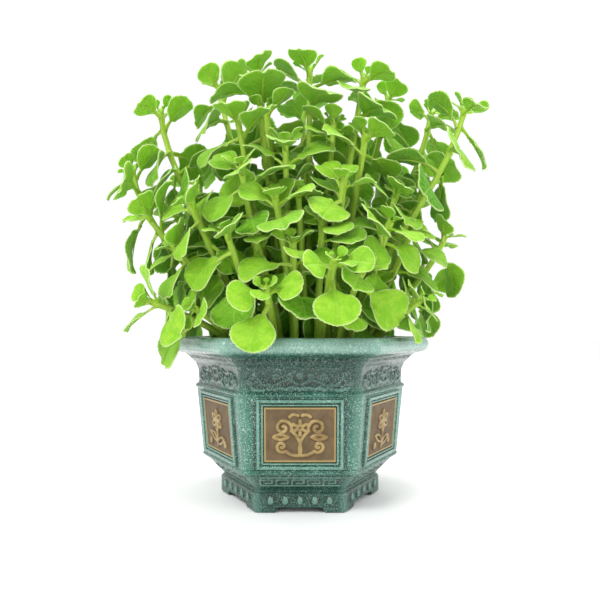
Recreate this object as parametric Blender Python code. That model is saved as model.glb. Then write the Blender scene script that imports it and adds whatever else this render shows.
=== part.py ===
"""Potted herbs: leafy shoots of a thick-leaved herb, growing from soil in a six-sided glazed pot with a relief
plaque set in each side. Metres, +Z up. The origin is on the surface that the pot stands on, under the pot's
axis, and the pot's front is its side towards -Y."""

import itertools
import math
import random

import bmesh
import bpy
from mathutils import Matrix, Vector

# Clearance between pieces that rest in or against each other.
CLEARANCE = 0.0003

# The pot. Every radius runs from the pot's axis to a corner of the hexagon.
SIDES = 6
FOOT_RING_HEIGHT = 0.015
TAPER_HEIGHT = 0.017
BODY_HEIGHT = 0.052
NECK_HEIGHT = 0.028
ROLL_HEIGHT = 0.012
FOOT_RADIUS = 0.0635
TAPER_FOOT_RADIUS = 0.061
BODY_FOOT_RADIUS = 0.078
BODY_TOP_RADIUS = 0.083
NECK_RADIUS = 0.0815
NECK_TOP_RADIUS = 0.090
RIM_RADIUS = 0.104
RIM_OPENING_RADIUS = 0.088
MOULDING = 0.0014
WALL = 0.0075
FLOOR_THICKNESS = 0.008
FOOT_RECESS_RADIUS = 0.050
FOOT_RECESS_HEIGHT = 0.009
FOOT_ARCH_WIDTH = 0.034
FOOT_ARCH_HEIGHT = 0.004
DRAIN_DIAMETER = 0.018

# The moulded frame on each side, and the plaque set in it.
FRAME_SIDE_MARGIN = 0.009
FRAME_END_MARGIN = 0.0015
FRAME_BORDER = 0.0055
FRAME_WIDTH = BODY_FOOT_RADIUS - 2 * FRAME_SIDE_MARGIN
FRAME_HEIGHT = BODY_HEIGHT - 2 * FRAME_END_MARGIN
FRAME_RELIEF = 0.0018
PLAQUE_WIDTH = FRAME_WIDTH - 2 * FRAME_BORDER
PLAQUE_HEIGHT = FRAME_HEIGHT - 2 * FRAME_BORDER
PLAQUE_THICKNESS = 0.0026
PLAQUE_INSET = 0.0008
PLAQUE_BEVEL = 0.0006

# The soil, below the rim.
SOIL_BELOW_RIM = 0.016
SOCKET_DEPTH = 0.020

# The plant.
PLANT_HEIGHT = 0.245
PLANT_REACH = 0.155
STEM_ROOT_RADIUS = 0.0028
STEM_TIP_RADIUS = 0.0020
LEAF_LENGTH = 0.042
LEAF_WIDTH = 0.035
LEAF_THICKNESS = 0.0015
PETIOLE_WIDTH = 0.0024
PETIOLE_SHARE = 0.20
PAIR_SPACING = 0.019
STEEPEST = math.radians(60)
LIT_TILT = 0.9
LIT_ROLL = 0.9
LEAF_GAP = 0.0041
STEM_REACH = math.sqrt(2) * STEM_ROOT_RADIUS + CLEARANCE
OWN_STEM_SHARE = 0.7

SEED = 7
STEM_STEPS = 12
NODE_BAND = 0.0024
SPOT_SHARES = [k / 4 for k in range(-4, 5)]

POT_HEIGHT = FOOT_RING_HEIGHT + TAPER_HEIGHT + BODY_HEIGHT + NECK_HEIGHT + ROLL_HEIGHT
BODY_FOOT = FOOT_RING_HEIGHT + TAPER_HEIGHT
BODY_TOP = BODY_FOOT + BODY_HEIGHT
FLOOR_TOP = FOOT_RECESS_HEIGHT + FLOOR_THICKNESS
SOIL_TOP = POT_HEIGHT - SOIL_BELOW_RIM
APOTHEM = math.cos(math.pi / SIDES)
SIDE_TURNS = [math.tau * (side + 0.5) / SIDES for side in range(SIDES)]
SIDE_NORMALS = [(math.cos(turn), math.sin(turn)) for turn in SIDE_TURNS]

# Each shoot: its root as shares of the soil's half width, its tip as shares of the plant's reach and height,
# how early it leans out (0 late, 1 early), its leaf pairs, the size of its leaves, and the turn in degrees
# from +X of its first pair. The shoots in front come first, because each leaf keeps clear of earlier ones.
SHOOTS = {
    "front_left_low": (-0.42, -0.62, -0.33, -0.42, 0.37, 0.5, 7, 1.05, 200),
    "front_centre_low": (-0.05, -0.78, -0.03, -0.50, 0.33, 0.4, 5, 1.00, 20),
    "front_right_low": (0.40, -0.66, 0.28, -0.50, 0.26, 0.3, 5, 1.05, 330),
    "front_right_tall": (0.30, -0.50, 0.20, -0.38, 0.52, 0.4, 7, 0.95, 60),
    "rim_left": (-0.70, -0.40, -0.69, -0.35, 0.17, 0.4, 5, 1.05, 250),
    "rim_right": (0.72, -0.42, 0.56, -0.34, 0.18, 0.5, 5, 0.80, 300),
    "front_rim": (-0.24, -0.80, -0.14, -0.62, 0.20, 0.4, 3, 1.00, 260),
    "front_right_rim": (0.20, -0.84, 0.14, -0.62, 0.27, 0.4, 3, 0.95, 300),
    "left_corner": (-0.60, -0.52, -0.47, -0.44, 0.15, 0.4, 2, 1.00, 215),
    "left_front_low": (-0.58, -0.34, -0.51, -0.34, 0.46, 0.5, 6, 0.95, 240),
    "right_middle": (0.56, -0.30, 0.48, -0.16, 0.52, 0.5, 6, 1.00, 345),
    "left_low": (-0.62, -0.16, -0.60, -0.26, 0.34, 0.5, 5, 1.00, 215),
    "front_left_middle": (-0.34, -0.46, -0.27, -0.36, 0.56, 0.5, 7, 1.00, 10),
    "front_middle": (-0.06, -0.61, -0.11, -0.44, 0.46, 0.4, 6, 1.00, 75),
    "front_right_middle": (0.18, -0.66, 0.10, -0.42, 0.40, 0.4, 6, 1.00, 15),
    "right_front_low": (0.54, -0.48, 0.41, -0.38, 0.40, 0.5, 6, 1.00, 40),
    "front_bud": (-0.20, -0.58, -0.14, -0.40, 0.38, 0.5, 3, 0.70, 45),
    "centre_bud": (0.06, -0.47, -0.01, -0.32, 0.50, 0.5, 5, 0.80, 10),
    "right_low": (0.68, -0.12, 0.54, -0.22, 0.40, 0.7, 7, 0.95, 320),
    "left_middle": (-0.50, -0.06, -0.74, -0.22, 0.44, 0.8, 7, 1.10, 190),
    "centre_front": (-0.12, -0.28, -0.07, -0.26, 0.65, 0.4, 8, 1.00, 0),
    "right_front": (0.40, -0.26, 0.32, -0.20, 0.69, 0.5, 9, 0.95, 35),
    "left_front": (-0.30, -0.30, -0.31, -0.14, 0.75, 0.5, 9, 1.05, 170),
    "left_outer": (-0.70, 0.12, -0.86, -0.03, 0.60, 0.9, 8, 1.10, 100),
    "left_tall": (-0.46, 0.20, -0.74, 0.06, 0.82, 0.9, 8, 0.95, 160),
    "right_side": (0.80, 0.02, 0.76, 0.02, 0.40, 0.8, 5, 1.00, 340),
    "right_outer": (0.52, 0.02, 0.84, -0.06, 0.80, 0.8, 10, 1.05, 0),
    "centre_right": (0.20, -0.22, 0.17, -0.12, 0.74, 0.4, 7, 1.00, 80),
    "centre_left": (-0.20, -0.14, -0.17, -0.10, 0.79, 0.4, 7, 1.00, 50),
    "right_inner": (0.74, 0.22, 0.66, 0.10, 0.57, 0.6, 6, 1.00, 10),
    "left_inner": (-0.62, 0.24, -0.70, 0.24, 0.50, 0.7, 6, 1.00, 165),
    "crown_left": (-0.24, -0.02, -0.23, 0.00, 0.93, 0.4, 11, 1.05, 15),
    "crown_right": (0.10, -0.04, 0.05, -0.01, 0.94, 0.3, 11, 1.00, 340),
    "right_crown": (0.32, 0.02, 0.33, -0.03, 0.91, 0.5, 11, 1.00, 30),
    "right_upper": (0.44, 0.26, 0.49, 0.19, 0.90, 0.6, 9, 0.95, 20),
    "right_far": (0.58, 0.30, 0.72, 0.16, 0.84, 0.8, 10, 0.95, 60),
    "left_crown": (-0.30, 0.26, -0.47, 0.30, 0.97, 0.6, 11, 0.95, 170),
    "back_crown": (0.04, 0.24, 0.02, 0.36, 0.90, 0.5, 11, 1.00, 60),
    "back_left": (-0.50, 0.46, -0.62, 0.46, 0.66, 0.8, 9, 1.00, 120),
    "back_right": (0.46, 0.54, 0.50, 0.48, 0.68, 0.8, 8, 1.00, 75),
    "back_middle": (-0.12, 0.50, -0.16, 0.50, 0.64, 0.7, 8, 1.00, 90),
    "back_inner_left": (-0.28, 0.42, -0.34, 0.48, 0.52, 0.6, 7, 1.00, 80),
    "back_inner_right": (0.24, 0.46, 0.26, 0.52, 0.54, 0.6, 7, 1.00, 20),
    "back_low": (0.16, 0.70, 0.12, 0.55, 0.36, 0.6, 6, 1.05, 110),
    "back_left_low": (-0.34, 0.72, -0.42, 0.54, 0.30, 0.7, 5, 1.05, 140),
    "back_right_low": (0.50, 0.74, 0.46, 0.58, 0.24, 0.6, 4, 1.00, 50),
    "back_rim_left": (-0.68, 0.40, -0.70, 0.44, 0.22, 0.6, 5, 1.05, 150),
    "back_rim_right": (0.72, 0.38, 0.76, 0.40, 0.24, 0.6, 5, 1.00, 25),
}


def clear_scene():
    for obj in list(bpy.data.objects):
        bpy.data.objects.remove(obj, do_unlink=True)


def material(name, colour, roughness, metallic=0.0):
    made = bpy.data.materials.new(name)
    made.use_nodes = True
    shader = made.node_tree.nodes["Principled BSDF"]
    shader.inputs["Base Color"].default_value = (*colour, 1.0)
    shader.inputs["Roughness"].default_value = roughness
    shader.inputs["Metallic"].default_value = metallic
    return made


def object_of(bm, name, finish, helper=False):
    """The mesh as an object of the scene; a helper is only an operand of a Boolean."""
    mesh = bpy.data.meshes.new(name)
    bm.to_mesh(mesh)
    bm.free()
    mesh.materials.append(finish)
    obj = bpy.data.objects.new(name, mesh)
    bpy.context.scene.collection.objects.link(obj)
    if helper:
        obj.hide_render = True
        obj.display_type = "WIRE"
    return obj


def join_all(obj, operation, helpers):
    """Gives obj one Boolean with all the helpers, which move to a collection of their own."""
    group = bpy.data.collections.new(f"{obj.name}_{operation.lower()}")
    bpy.context.scene.collection.children.link(group)
    for helper in helpers:
        bpy.context.scene.collection.objects.unlink(helper)
        group.objects.link(helper)
    boolean = obj.modifiers.new(operation.lower(), "BOOLEAN")
    boolean.operation = operation
    boolean.operand_type = "COLLECTION"
    boolean.collection = group


def loft(rings):
    """A closed mesh through rings of points, from a flat first end to a flat last end."""
    bm = bmesh.new()
    made = [[bm.verts.new(point) for point in ring] for ring in rings]
    for low, high in zip(made, made[1:]):
        for k, (a, b) in enumerate(zip(low, high)):
            after = (k + 1) % len(low)
            bm.faces.new((a, low[after], high[after], b))
    bm.faces.new(made[0][::-1])
    bm.faces.new(made[-1])
    return bm


def ring(radius, z, sides=SIDES):
    turns = [math.tau * k / sides for k in range(sides)]
    return [Vector((radius * math.cos(a), radius * math.sin(a), z)) for a in turns]


def block(width, height, low, high):
    """A block on a side's own axes: centred across and up the side, from low to high out of it."""
    bm = bmesh.new()
    bmesh.ops.create_cube(bm, size=1.0)
    bmesh.ops.scale(bm, verts=bm.verts, vec=(width, height, high - low))
    bmesh.ops.translate(bm, verts=bm.verts, vec=(0.0, 0.0, (low + high) / 2))
    return bm


def side_axes(side):
    """From a side's own axes (across, up, out) to the pot's, at the middle of the side's sloping face."""
    lean = math.atan2((BODY_TOP_RADIUS - BODY_FOOT_RADIUS) * APOTHEM, BODY_HEIGHT)
    out = APOTHEM * (BODY_TOP_RADIUS + BODY_FOOT_RADIUS) / 2
    turn = math.tau * side / SIDES
    upright = Matrix.Rotation(math.pi / 2 + lean, 4, "X")
    return Matrix.Rotation(turn, 4, "Z") @ Matrix.Translation((0.0, -out, BODY_FOOT + BODY_HEIGHT / 2)) @ upright


def pot_profile():
    """(radius, height) pairs, from the recess under the pot, up its outside, over the rim and down its inside."""
    neck_foot = BODY_TOP + 2.5 * MOULDING
    roll_foot = BODY_TOP + NECK_HEIGHT
    foot_ring = FOOT_RING_HEIGHT - 2 * MOULDING
    under_body = BODY_FOOT - 2 * MOULDING
    under_body_radius = BODY_FOOT_RADIUS - 2 * MOULDING
    return [
        (FOOT_RECESS_RADIUS, FOOT_RECESS_HEIGHT),
        (FOOT_RECESS_RADIUS, 0.0),
        (FOOT_RADIUS, 0.0),
        (FOOT_RADIUS, foot_ring),
        (TAPER_FOOT_RADIUS, FOOT_RING_HEIGHT),
        (under_body_radius, under_body),
        (BODY_FOOT_RADIUS + MOULDING / 2, under_body),
        (BODY_FOOT_RADIUS + MOULDING / 2, BODY_FOOT),
        (BODY_FOOT_RADIUS, BODY_FOOT),
        (BODY_TOP_RADIUS, BODY_TOP),
        (BODY_TOP_RADIUS + MOULDING, BODY_TOP + MOULDING),
        (NECK_RADIUS, neck_foot),
        (NECK_RADIUS, BODY_TOP + NECK_HEIGHT / 2),
        (NECK_TOP_RADIUS, roll_foot - MOULDING),
        (RIM_RADIUS - ROLL_HEIGHT / 4, roll_foot),
        (RIM_RADIUS, roll_foot + ROLL_HEIGHT / 2),
        (RIM_RADIUS - ROLL_HEIGHT / 3, POT_HEIGHT),
        (RIM_OPENING_RADIUS + ROLL_HEIGHT / 4, POT_HEIGHT),
        (RIM_OPENING_RADIUS, roll_foot + ROLL_HEIGHT / 2),
        inner_neck(),
        inner_foot(),
    ]


def inner_neck():
    return (NECK_RADIUS - WALL, BODY_TOP + NECK_HEIGHT / 2)


def inner_foot():
    return (BODY_FOOT_RADIUS - 2 * WALL, FLOOR_TOP)


def inner_radius(z):
    """The inside corner radius of the pot at a height above its floor."""
    points = [inner_foot(), inner_neck(), (RIM_OPENING_RADIUS, POT_HEIGHT - ROLL_HEIGHT / 2)]
    for (r0, z0), (r1, z1) in zip(points, points[1:]):
        if z <= z1:
            return r0 + (r1 - r0) * (z - z0) / (z1 - z0)
    return RIM_OPENING_RADIUS


def make_pot(glaze):
    pot = object_of(loft([ring(radius, z) for radius, z in pot_profile()]), "pot", glaze)
    frames, cuts = [], []
    for side in range(SIDES):
        frame = block(FRAME_WIDTH, FRAME_HEIGHT, -WALL / 4, FRAME_RELIEF)
        bmesh.ops.transform(frame, matrix=side_axes(side), verts=frame.verts)
        frames.append(object_of(frame, f"frame_{side}", glaze, helper=True))
        back = FRAME_RELIEF - PLAQUE_INSET - PLAQUE_THICKNESS - CLEARANCE
        bed = block(PLAQUE_WIDTH + 2 * CLEARANCE, PLAQUE_HEIGHT + 2 * CLEARANCE, back, 2 * FRAME_RELIEF)
        bmesh.ops.transform(bed, matrix=side_axes(side), verts=bed.verts)
        cuts.append(object_of(bed, f"bed_{side}", glaze, helper=True))
    for side in range(SIDES // 2):
        arch = bmesh.new()
        bmesh.ops.create_cube(arch, size=1.0)
        bmesh.ops.scale(arch, verts=arch.verts, vec=(FOOT_ARCH_WIDTH, 3 * FOOT_RADIUS, 2 * FOOT_ARCH_HEIGHT))
        bmesh.ops.transform(arch, matrix=Matrix.Rotation(math.tau * side / SIDES, 4, "Z"), verts=arch.verts)
        cuts.append(object_of(arch, f"arch_{side}", glaze, helper=True))
    drain_ends = [FOOT_RECESS_HEIGHT - FLOOR_THICKNESS, FLOOR_TOP + FLOOR_THICKNESS]
    drain = loft([ring(DRAIN_DIAMETER / 2, z, 16) for z in drain_ends])
    cuts.append(object_of(drain, "drain_cut", glaze, helper=True))
    join_all(pot, "UNION", frames)
    join_all(pot, "DIFFERENCE", cuts)


def make_plaque(side, bronze):
    high = FRAME_RELIEF - PLAQUE_INSET
    plaque = block(PLAQUE_WIDTH, PLAQUE_HEIGHT, high - PLAQUE_THICKNESS, high)
    obj = object_of(plaque, f"plaque_{side + 1}", bronze)
    obj.matrix_world = side_axes(side)
    bevel = obj.modifiers.new("edge", "BEVEL")
    bevel.width = PLAQUE_BEVEL
    bevel.segments = 1
    bevel.use_clamp_overlap = True


def soil_rings():
    wall = CLEARANCE / APOTHEM
    neck_radius, neck_z = inner_neck()
    foot_radius, foot_z = inner_foot()
    return [
        ring(foot_radius - wall, foot_z + CLEARANCE),
        ring(neck_radius - wall, neck_z),
        ring(inner_radius(SOIL_TOP) - wall, SOIL_TOP),
    ]


def make_soil(shoots, earth):
    soil = object_of(loft(soil_rings()), "potting_soil", earth)
    sockets = []
    for name, shoot in shoots.items():
        root = shoot["points"][0]
        ends = [SOIL_TOP - SOCKET_DEPTH, SOIL_TOP + SOCKET_DEPTH]
        across, beside = stem_faces(shoot["turn"], Vector((0.0, 0.0, 1.0)))
        half = STEM_ROOT_RADIUS + CLEARANCE
        socket = loft([square(Vector((root.x, root.y, z)), across, beside, half) for z in ends])
        sockets.append(object_of(socket, f"socket_{name}", earth, helper=True))
    join_all(soil, "DIFFERENCE", sockets)


def stem_points(root, tip, lean):
    """Points along a stem: up through its socket, then in one bend to its tip."""
    start = Vector((root[0], root[1], SOIL_TOP + CLEARANCE))
    rise = tip.z - start.z
    first = start + Vector((0.0, 0.0, rise * 0.30))
    across = start.lerp(tip, lean)
    second = Vector((across.x, across.y, start.z + rise * 0.60))
    points = [Vector((start.x, start.y, SOIL_TOP - SOCKET_DEPTH + CLEARANCE))]
    for k in range(STEM_STEPS + 1):
        t = k / STEM_STEPS
        weights = ((1 - t) ** 3, 3 * t * (1 - t) ** 2, 3 * t * t * (1 - t), t ** 3)
        corners = (start, first, second, tip)
        points.append(sum((w * corner for w, corner in zip(weights, corners)), Vector()))
    return points


def along(points, distance_from_tip):
    """The place and the direction of a stem at a distance below its tip."""
    left = distance_from_tip
    for high, low in zip(points[::-1], points[-2::-1]):
        step = (high - low).length
        if left <= step:
            return high.lerp(low, left / step), (high - low).normalized()
        left -= step
    return points[0].copy(), Vector((0.0, 0.0, 1.0))


def length_of(points):
    return sum((high - low).length for low, high in zip(points, points[1:]))


def stem_radius(points, distance_from_tip):
    share = min(1.0, distance_from_tip / length_of(points))
    return STEM_TIP_RADIUS + (STEM_ROOT_RADIUS - STEM_TIP_RADIUS) * share


def stem_faces(turn, stem):
    """The square stem's two face directions: the first is level and heads nearest to the turn."""
    out = Vector((math.cos(turn), math.sin(turn), 0.0))
    out = (out - out.dot(stem) * stem).normalized()
    return out, stem.cross(out)


def square(centre, across, beside, half):
    """The four corners of a square stem's section, whose faces head across and beside."""
    return [centre + half * (i * across + j * beside) for i, j in ((1, -1), (1, 1), (-1, 1), (-1, -1))]


def half_width(s, width):
    """Half the leaf's width at a share s of its length: a thin petiole, then a blade widest past its middle."""
    if s <= PETIOLE_SHARE:
        return PETIOLE_WIDTH / 2
    u = (s - PETIOLE_SHARE) / (1 - PETIOLE_SHARE)
    widest = 0.58
    if u < widest:
        shape = math.sin(math.pi / 2 * u / widest) ** 1.1
    else:
        shape = math.sqrt(max(0.0, 1 - ((u - widest) / (1 - widest)) ** 2))
    return max(width / 2 * shape, PETIOLE_WIDTH / 2 * (1 - u))


def leaf_section(leaf, s):
    """Across the leaf at a share s of its length: its middle, its half width, its side and its upper normal."""
    bend = leaf["bend"]
    angle = leaf["rise"] + bend * s
    forward = (math.sin(angle) - math.sin(leaf["rise"])) / bend
    upward = (math.cos(leaf["rise"]) - math.cos(angle)) / bend
    middle = leaf["base"] + leaf["length"] * (forward * leaf["out"] + upward * leaf["up"])
    normal = math.cos(angle) * leaf["up"] - math.sin(angle) * leaf["out"]
    across = math.cos(leaf["roll"]) * leaf["side"] + math.sin(leaf["roll"]) * normal
    normal = math.cos(leaf["roll"]) * normal - math.sin(leaf["roll"]) * leaf["side"]
    return middle, half_width(s, leaf["width"]), across, normal


def leaf_row(leaf, s, shares):
    """Points on the leaf's middle surface at a share s of its length, at shares from -1 to 1 across it."""
    middle, half, across, normal = leaf_section(leaf, s)
    return [middle + t * half * across + leaf["cup"] * t * t * half * normal for t in shares]


def leaf_on(points, distance, turn, face, heading, rise, bend, size, cup, roll):
    """A leaf growing from one face of the stem, turned by its heading away from square to that face. It tips its
    upper side away from the plant's axis, towards the light."""
    centre, stem = along(points, distance)
    across, beside = stem_faces(turn, stem)
    square_out = (across, beside, -across, -beside)[face]
    out = math.cos(heading) * square_out + math.sin(heading) * stem.cross(square_out)
    lit = Vector((centre.x, centre.y, 0.0)) / PLANT_REACH
    rise = min(STEEPEST, rise - LIT_TILT * out.dot(lit))
    roll -= LIT_ROLL * min(1.0, size) * stem.cross(out).dot(lit)
    return {
        "distance": distance,
        "face": face,
        "base": centre + stem_radius(points, distance) * square_out,
        "out": out,
        "up": stem,
        "side": stem.cross(out),
        "rise": rise,
        "bend": bend,
        "length": LEAF_LENGTH * size,
        "width": LEAF_WIDTH * size,
        "cup": cup,
        "roll": roll,
    }


def leaf_spots(leaf):
    """Points spread over a leaf, close enough together that two blades can't cross between them: those at its
    petiole, which start near its own stem, and the rest."""
    near = [leaf_row(leaf, s, (0.0,))[0] for s in (0.12, 0.22)] + leaf_row(leaf, 0.30, SPOT_SHARES)
    far = leaf_row(leaf, 1.0, (0.0,))
    for s in (0.42, 0.54, 0.66, 0.78, 0.90):
        far += leaf_row(leaf, s, SPOT_SHARES)
    return near, far


def hexagon_distance(point):
    """How far a point is from the pot's axis, measured square to the nearest side."""
    return max(point.x * x + point.y * y for x, y in SIDE_NORMALS)


def meets_pot(spots):
    """Whether any spot is in the rim, the pot or the soil, or too near to them."""
    for spot in spots:
        if spot.z > POT_HEIGHT + LEAF_GAP:
            continue
        distance = hexagon_distance(spot)
        over_soil = distance < RIM_OPENING_RADIUS * APOTHEM - LEAF_GAP and spot.z > SOIL_TOP + LEAF_GAP
        if distance < RIM_RADIUS * APOTHEM + LEAF_GAP and not over_soil:
            return True
    return False


class Room:
    """The spots already taken, in cells as wide as the largest gap that is asked for. Each spot is kept in its own
    cell and in those around it. A stem's spots have its shoot as their owner, and that shoot's own petioles may
    be nearer to them."""

    def __init__(self, cell):
        self.cell = cell
        self.cells = {}

    def key(self, point):
        return tuple(math.floor(c / self.cell) for c in point)

    def take(self, spots, reach, owner=""):
        for spot in spots:
            for around in itertools.product(*((k - 1, k, k + 1) for k in self.key(spot))):
                self.cells.setdefault(around, []).append((spot, reach, owner))

    def free(self, spots, reach, owner=None):
        for spot in spots:
            for other, other_reach, other_owner in self.cells.get(self.key(spot), ()):
                gap = reach + other_reach
                if other_owner == owner:
                    gap *= OWN_STEM_SHARE
                if (spot - other).length_squared < gap * gap:
                    return False
        return True


def stem_spots(points, radius):
    """Points along a stem, a radius apart."""
    spots = []
    for low, high in zip(points[1:], points[2:]):
        steps = max(1, math.ceil((high - low).length / radius))
        spots += [low.lerp(high, k / steps) for k in range(steps)]
    return spots


def stem_meets_pot(spots):
    """Whether a stem comes too near the wall or the rolled rim on its way out of the pot."""
    return any(
        spot.z < POT_HEIGHT + STEM_REACH
        and hexagon_distance(spot) > inner_radius(spot.z) * APOTHEM - STEM_REACH
        for spot in spots
    )


# How a stem gives way to earlier ones: its tip moved sideways, as a share of the plant's reach, and its lean.
STEM_TRIES = [
    (sideways, leant)
    for sideways in (0.0, 0.08, -0.08, 0.16, -0.16)
    for leant in (0.0, 0.15, -0.15, 0.3, -0.3)
]


def grow_stem(row, room, name):
    """The first of a few ways to grow at which the stem clears the pot and the earlier stems."""
    root_x, root_y, tip_x, tip_y, tip_z, lean = row[:6]
    soil = inner_radius(SOIL_TOP) * APOTHEM
    sideways_on = Vector((-tip_y, tip_x, 0.0)).normalized()
    for sideways, leant in STEM_TRIES:
        tip = PLANT_REACH * (Vector((tip_x, tip_y, 0.0)) + sideways * sideways_on)
        tip.z = SOIL_TOP + tip_z * PLANT_HEIGHT
        points = stem_points((root_x * soil, root_y * soil), tip, min(1.0, max(0.0, lean + leant)))
        spots = stem_spots(points, STEM_ROOT_RADIUS)
        if not stem_meets_pot(spots) and room.free(spots, STEM_REACH):
            break
    room.take(spots, STEM_REACH, name)
    return points


def pair_distances(pairs):
    """How far below the tip each pair grows: close together in the bud, then evenly spaced."""
    return [(0.0018, 0.0062, 0.0165, 0.036)[k] if k < 4 else 0.036 + (k - 3) * PAIR_SPACING for k in range(pairs)]


# How a leaf gives way to earlier ones: turned, lifted (radians) and shrunk.
TRIES = [(0.0, 0.0, 1.0)] + [
    (turned, lifted, shrunk)
    for shrunk in (1.0, 0.88, 0.74, 0.62)
    for lifted in (0.0, 0.3, -0.3, 0.6, -0.6)
    for turned in (0.0, 0.25, -0.25, 0.5, -0.5, 0.8, -0.8)
]


def grow_leaves(row, points, turn, room, name, dice):
    """Opposite pairs, each turned a quarter from the last: small and steep at the tip, wide and hanging below."""
    pairs, size = row[6:8]
    above_soil = length_of(points[1:])
    leaves = []
    for pair, distance in enumerate(pair_distances(pairs)):
        if distance + NODE_BAND > above_soil:
            break
        grown = (0.36, 0.62, 0.86, 1.0)[min(pair, 3)] * size
        rise = math.radians((62, 40, 18, 4, -8, -18, -26)[min(pair, 6)])
        reach = LEAF_GAP / 2 * min(1.0, grown + 0.1)
        for half in range(2):
            heading = dice.uniform(-0.25, 0.25)
            lift = rise + dice.uniform(-0.2, 0.2)
            bend = -(0.4 + 0.15 * min(pair, 4)) * dice.uniform(0.7, 1.3)
            cup = dice.uniform(0.08, 0.24)
            roll = dice.uniform(-0.35, 0.35)
            own = grown * dice.uniform(0.9, 1.08)
            for turned, lifted, shrunk in TRIES:
                leaf = leaf_on(
                    points, distance, turn, pair % 2 + 2 * half, heading + turned,
                    lift + lifted, bend, own * shrunk, cup, roll,
                )
                near, far = leaf_spots(leaf)
                if not meets_pot(near + far) and room.free(far, reach) and room.free(near, reach, name):
                    room.take(near + far, reach)
                    leaves.append(leaf)
                    break
    return leaves


def grow_plant():
    """Every shoot's stem and leaves, in the order of the table."""
    dice = random.Random(SEED)
    room = Room(2 * STEM_REACH)
    shoots = {}
    for name, row in SHOOTS.items():
        shoots[name] = {"points": grow_stem(row, room, name), "turn": math.radians(row[8])}
    for name, row in SHOOTS.items():
        shoot = shoots[name]
        shoot["leaves"] = grow_leaves(row, shoot["points"], shoot["turn"], room, name, dice)
    return shoots


def stem_mesh(shoot):
    """The closed square stem, and the face of it that each leaf grows from."""
    points, turn = shoot["points"], shoot["turn"]
    whole = length_of(points)
    bands = sorted({leaf["distance"] for leaf in shoot["leaves"]})
    places = {0.0, whole, length_of(points[1:])}
    bends = [length_of(points[k:]) for k in range(2, len(points) - 1)]
    places |= {bend for bend in bends if all(abs(bend - distance) > NODE_BAND for distance in bands)}
    for distance in bands:
        places |= {distance - NODE_BAND / 2, distance + NODE_BAND / 2}
    bm = bmesh.new()
    rings = []
    for distance in sorted(places):
        centre, stem = along(points, distance)
        across, beside = stem_faces(turn, stem)
        corners = square(centre, across, beside, stem_radius(points, distance))
        rings.append((distance, [bm.verts.new(corner) for corner in corners]))
    faces = {}
    for (distance, high), (_, low) in zip(rings, rings[1:]):
        for side in range(4):
            after = (side + 1) % 4
            face = bm.faces.new((low[side], low[after], high[after], high[side]))
            faces[round(distance + NODE_BAND / 2, 7), side] = face
    bm.faces.new(rings[0][1])
    bm.faces.new(rings[-1][1][::-1])
    return bm, [faces[round(leaf["distance"], 7), leaf["face"]] for leaf in shoot["leaves"]]


def draw_out_leaf(bm, face, leaf):
    """Draws a stem's face out into a leaf: flat diamond sections, and a sharp tip."""
    for s, thick in ((PETIOLE_SHARE, 1.2), (0.50, 1.0), (0.82, 0.8)):
        face = bmesh.ops.extrude_discrete_faces(bm, faces=[face])["faces"][0]
        left, middle, right = leaf_row(leaf, s, (-1.0, 0.0, 1.0))
        lift = LEAF_THICKNESS * thick / 2 * leaf_section(leaf, s)[3]
        section = [left, middle - lift, right, middle + lift]
        move_face(face, section)
    tip = leaf_row(leaf, 1.0, (0.0,))[0]
    end = bmesh.ops.extrude_discrete_faces(bm, faces=[face])["faces"][0]
    bmesh.ops.pointmerge(bm, verts=end.verts, merge_co=tip)


def move_face(face, section):
    """Moves a face's corners to the section's, starting where the edges between them twist least."""
    corners = [loop.vert for loop in face.loops]
    ways = [section[k:] + section[:k] for k in range(len(section))]
    middle = sum((corner.co for corner in corners), Vector()) / len(corners)
    centre = sum(section, Vector()) / len(section)

    def twist(way):
        return sum(
            (corner.co - middle).normalized().dot((point - centre).normalized())
            for corner, point in zip(corners, way)
        )

    for corner, point in zip(corners, max(ways, key=twist)):
        corner.co = point


def make_shoot(name, shoot, green):
    bm, faces = stem_mesh(shoot)
    for face, leaf in zip(faces, shoot["leaves"]):
        draw_out_leaf(bm, face, leaf)
    return object_of(bm, f"shoot_{name}", green)


def main():
    clear_scene()
    glaze = material("green_glaze", (0.06, 0.28, 0.20), 0.25)
    bronze = material("bronze_plaque", (0.30, 0.20, 0.10), 0.45, 0.3)
    earth = material("potting_soil", (0.05, 0.035, 0.025), 0.95)
    green = material("leaf", (0.25, 0.50, 0.08), 0.6)
    make_pot(glaze)
    for side in range(SIDES):
        make_plaque(side, bronze)
    shoots = grow_plant()
    make_soil(shoots, earth)
    for name, shoot in shoots.items():
        make_shoot(name, shoot, green)


main()
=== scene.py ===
"""Potted herbs, dressed: fuzzy crenate leaves on grooved stems, a speckled celadon pot with moulded relief, cast
relief plaques and crumbly soil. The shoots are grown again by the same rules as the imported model's, so each
leaf here lies on its own solid. Metres, +Z up, and the pot's front is its side towards -Y."""

import itertools
import math
import random

import bpy
import numpy as np
from mathutils import Matrix, Vector


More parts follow.
